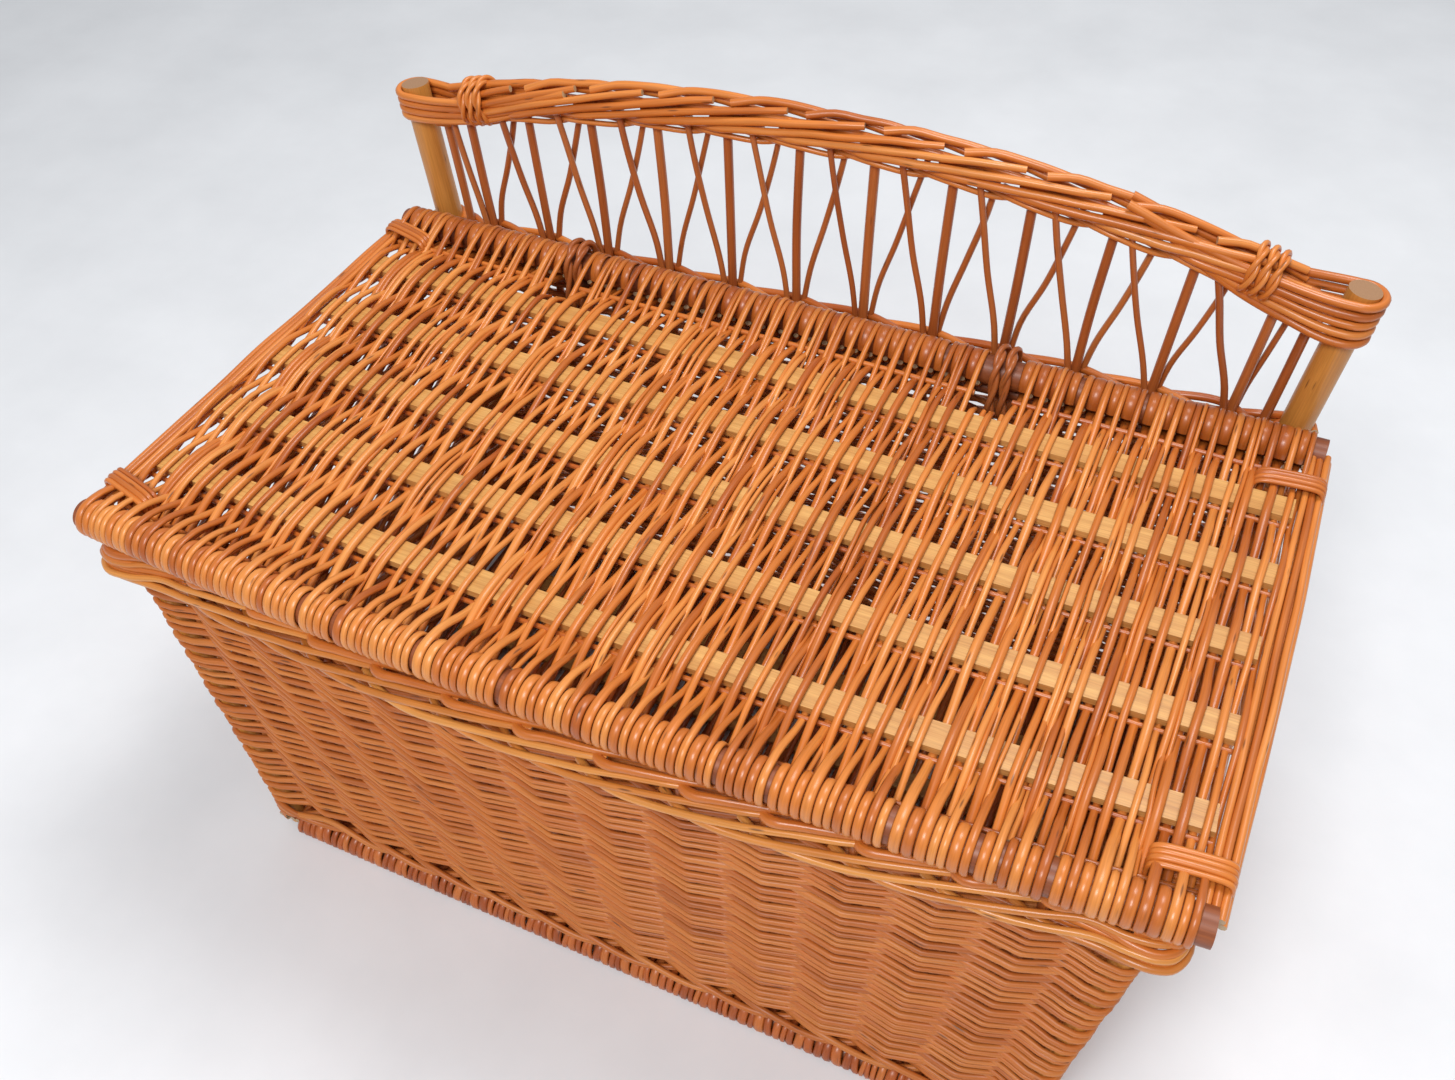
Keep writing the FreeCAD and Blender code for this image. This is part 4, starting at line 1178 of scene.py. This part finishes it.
def base():
    """The foot's wrapped bars and the floor woven on flat slats between them."""
    count = int(2 * FOOT_HALF / FOOT_PITCH)
    widths = random.uniform(0.6, 1.3, count)
    scale = 2 * FOOT_HALF / widths.sum()
    edges = -FOOT_HALF + np.concatenate([[0], np.cumsum(widths)]) * scale
    bundle = Bundle(7)
    for number in range(count):
        half_width = widths[number] * scale / 2
        foot_weaver(bundle, edges[number] + half_width, half_width, number % 2 == 0)
    for hand in (-1, 1):
        for number in range(4):
            foot_edge_rod(bundle, hand * (FOOT_HALF + (3 + number * 5.4) * MM), number)
    bundle.piece("base_weavers", "basket", FOOT_WILLOW, "willow", "base_weave", "base_front_bar",
                 "base_back_bar")


def foot_sticks():
    """The sticks inside the foot's wrapped bars, and the bare ones at its sides."""
    cores = Bundle(12)
    for line in FOOT_LINES:
        cores.add([np.array([x, line, FOOT_Z]) for x in (-FOOT_HALF - 3 * MM, 0, FOOT_HALF + 3 * MM)],
                  5.2 * MM, spacing=60 * MM, shade=0.3)
    cores.piece("foot_bar_cores", "basket", BARK, "bark_stick", "base_front_bar", "base_back_bar")
    sides = Bundle(10)
    for name in ("base_side_bar_left", "base_side_bar_right"):
        low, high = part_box(name)
        middle = (low + high) / 2
        sides.add([np.array([middle.x, y, middle.z]) for y in (low.y, middle.y, high.y)], 5 * MM,
                  spacing=60 * MM)
    sides.piece("base_side_sticks", "basket", BARK, "willow", "base_side_bar_left", "base_side_bar_right")


# ---------------------------------------------------------------- stage, light and camera

CAMERA_AT = Vector((0.306, -0.602, 0.979))
CAMERA_AIM = Vector((0.034, -0.053, 0.344))
CAMERA_ROLL = math.radians(-2.12)
CAMERA_LENS = 33.45
LIGHT_AIM = Vector((0, 0, 0.3))
# Each lamp's name, place, size in metres and power in watts.
LIGHTS = (("overhead", (0.4, 0.7, 2.5), 1.0, 30), ("front", (0.1, -1.5, 2.3), 0.8, 39))
SKY = (0.93, 0.96, 1.0, 1.0)
SKY_STRENGTH = 0.42


def stage():
    """A plain pale floor under soft light from overhead and from the front."""
    bpy.ops.mesh.primitive_plane_add(size=12)
    floor = bpy.context.object
    floor.name = "floor"
    floor.data.materials.append(floor_material())
    world = bpy.data.worlds.new("soft_sky")
    bpy.context.scene.world = world
    world.use_nodes = True
    background = world.node_tree.nodes["Background"]
    background.inputs["Color"].default_value = SKY
    background.inputs["Strength"].default_value = SKY_STRENGTH
    bpy.context.scene.view_settings.view_transform = "Standard"
    for name, place, size, power in LIGHTS:
        light = bpy.data.lights.new(name, "AREA")
        light.size = size
        light.energy = power
        lamp = bpy.data.objects.new(name, light)
        lamp.location = place
        lamp.rotation_euler = (LIGHT_AIM - Vector(place)).to_track_quat("-Z", "Y").to_euler()
        bpy.context.scene.collection.objects.link(lamp)


def camera():
    """The camera at the photo's viewpoint, rolled a little as it was held."""
    data = bpy.data.cameras.new("camera")
    data.lens = CAMERA_LENS
    data.sensor_width = 36
    data.clip_start = 0.01
    made = bpy.data.objects.new("camera", data)
    made.location = CAMERA_AT
    made.rotation_mode = "QUATERNION"
    aim = (CAMERA_AIM - CAMERA_AT).to_track_quat("-Z", "Y")
    made.rotation_quaternion = (aim.to_matrix() @ Matrix.Rotation(CAMERA_ROLL, 3, "Z")).to_quaternion()
    bpy.context.scene.collection.objects.link(made)
    bpy.context.scene.camera = made


walls()
foot_walings()
rolled_rim()
back_rim()
standing_wood()
rail()
rail_ends()
rail_lashings()
openwork()
lid_weave()
lid_cross_rods()
lid_edges()
hinge_loops()
base()
foot_sticks()
flat_wood()
stage()
camera()
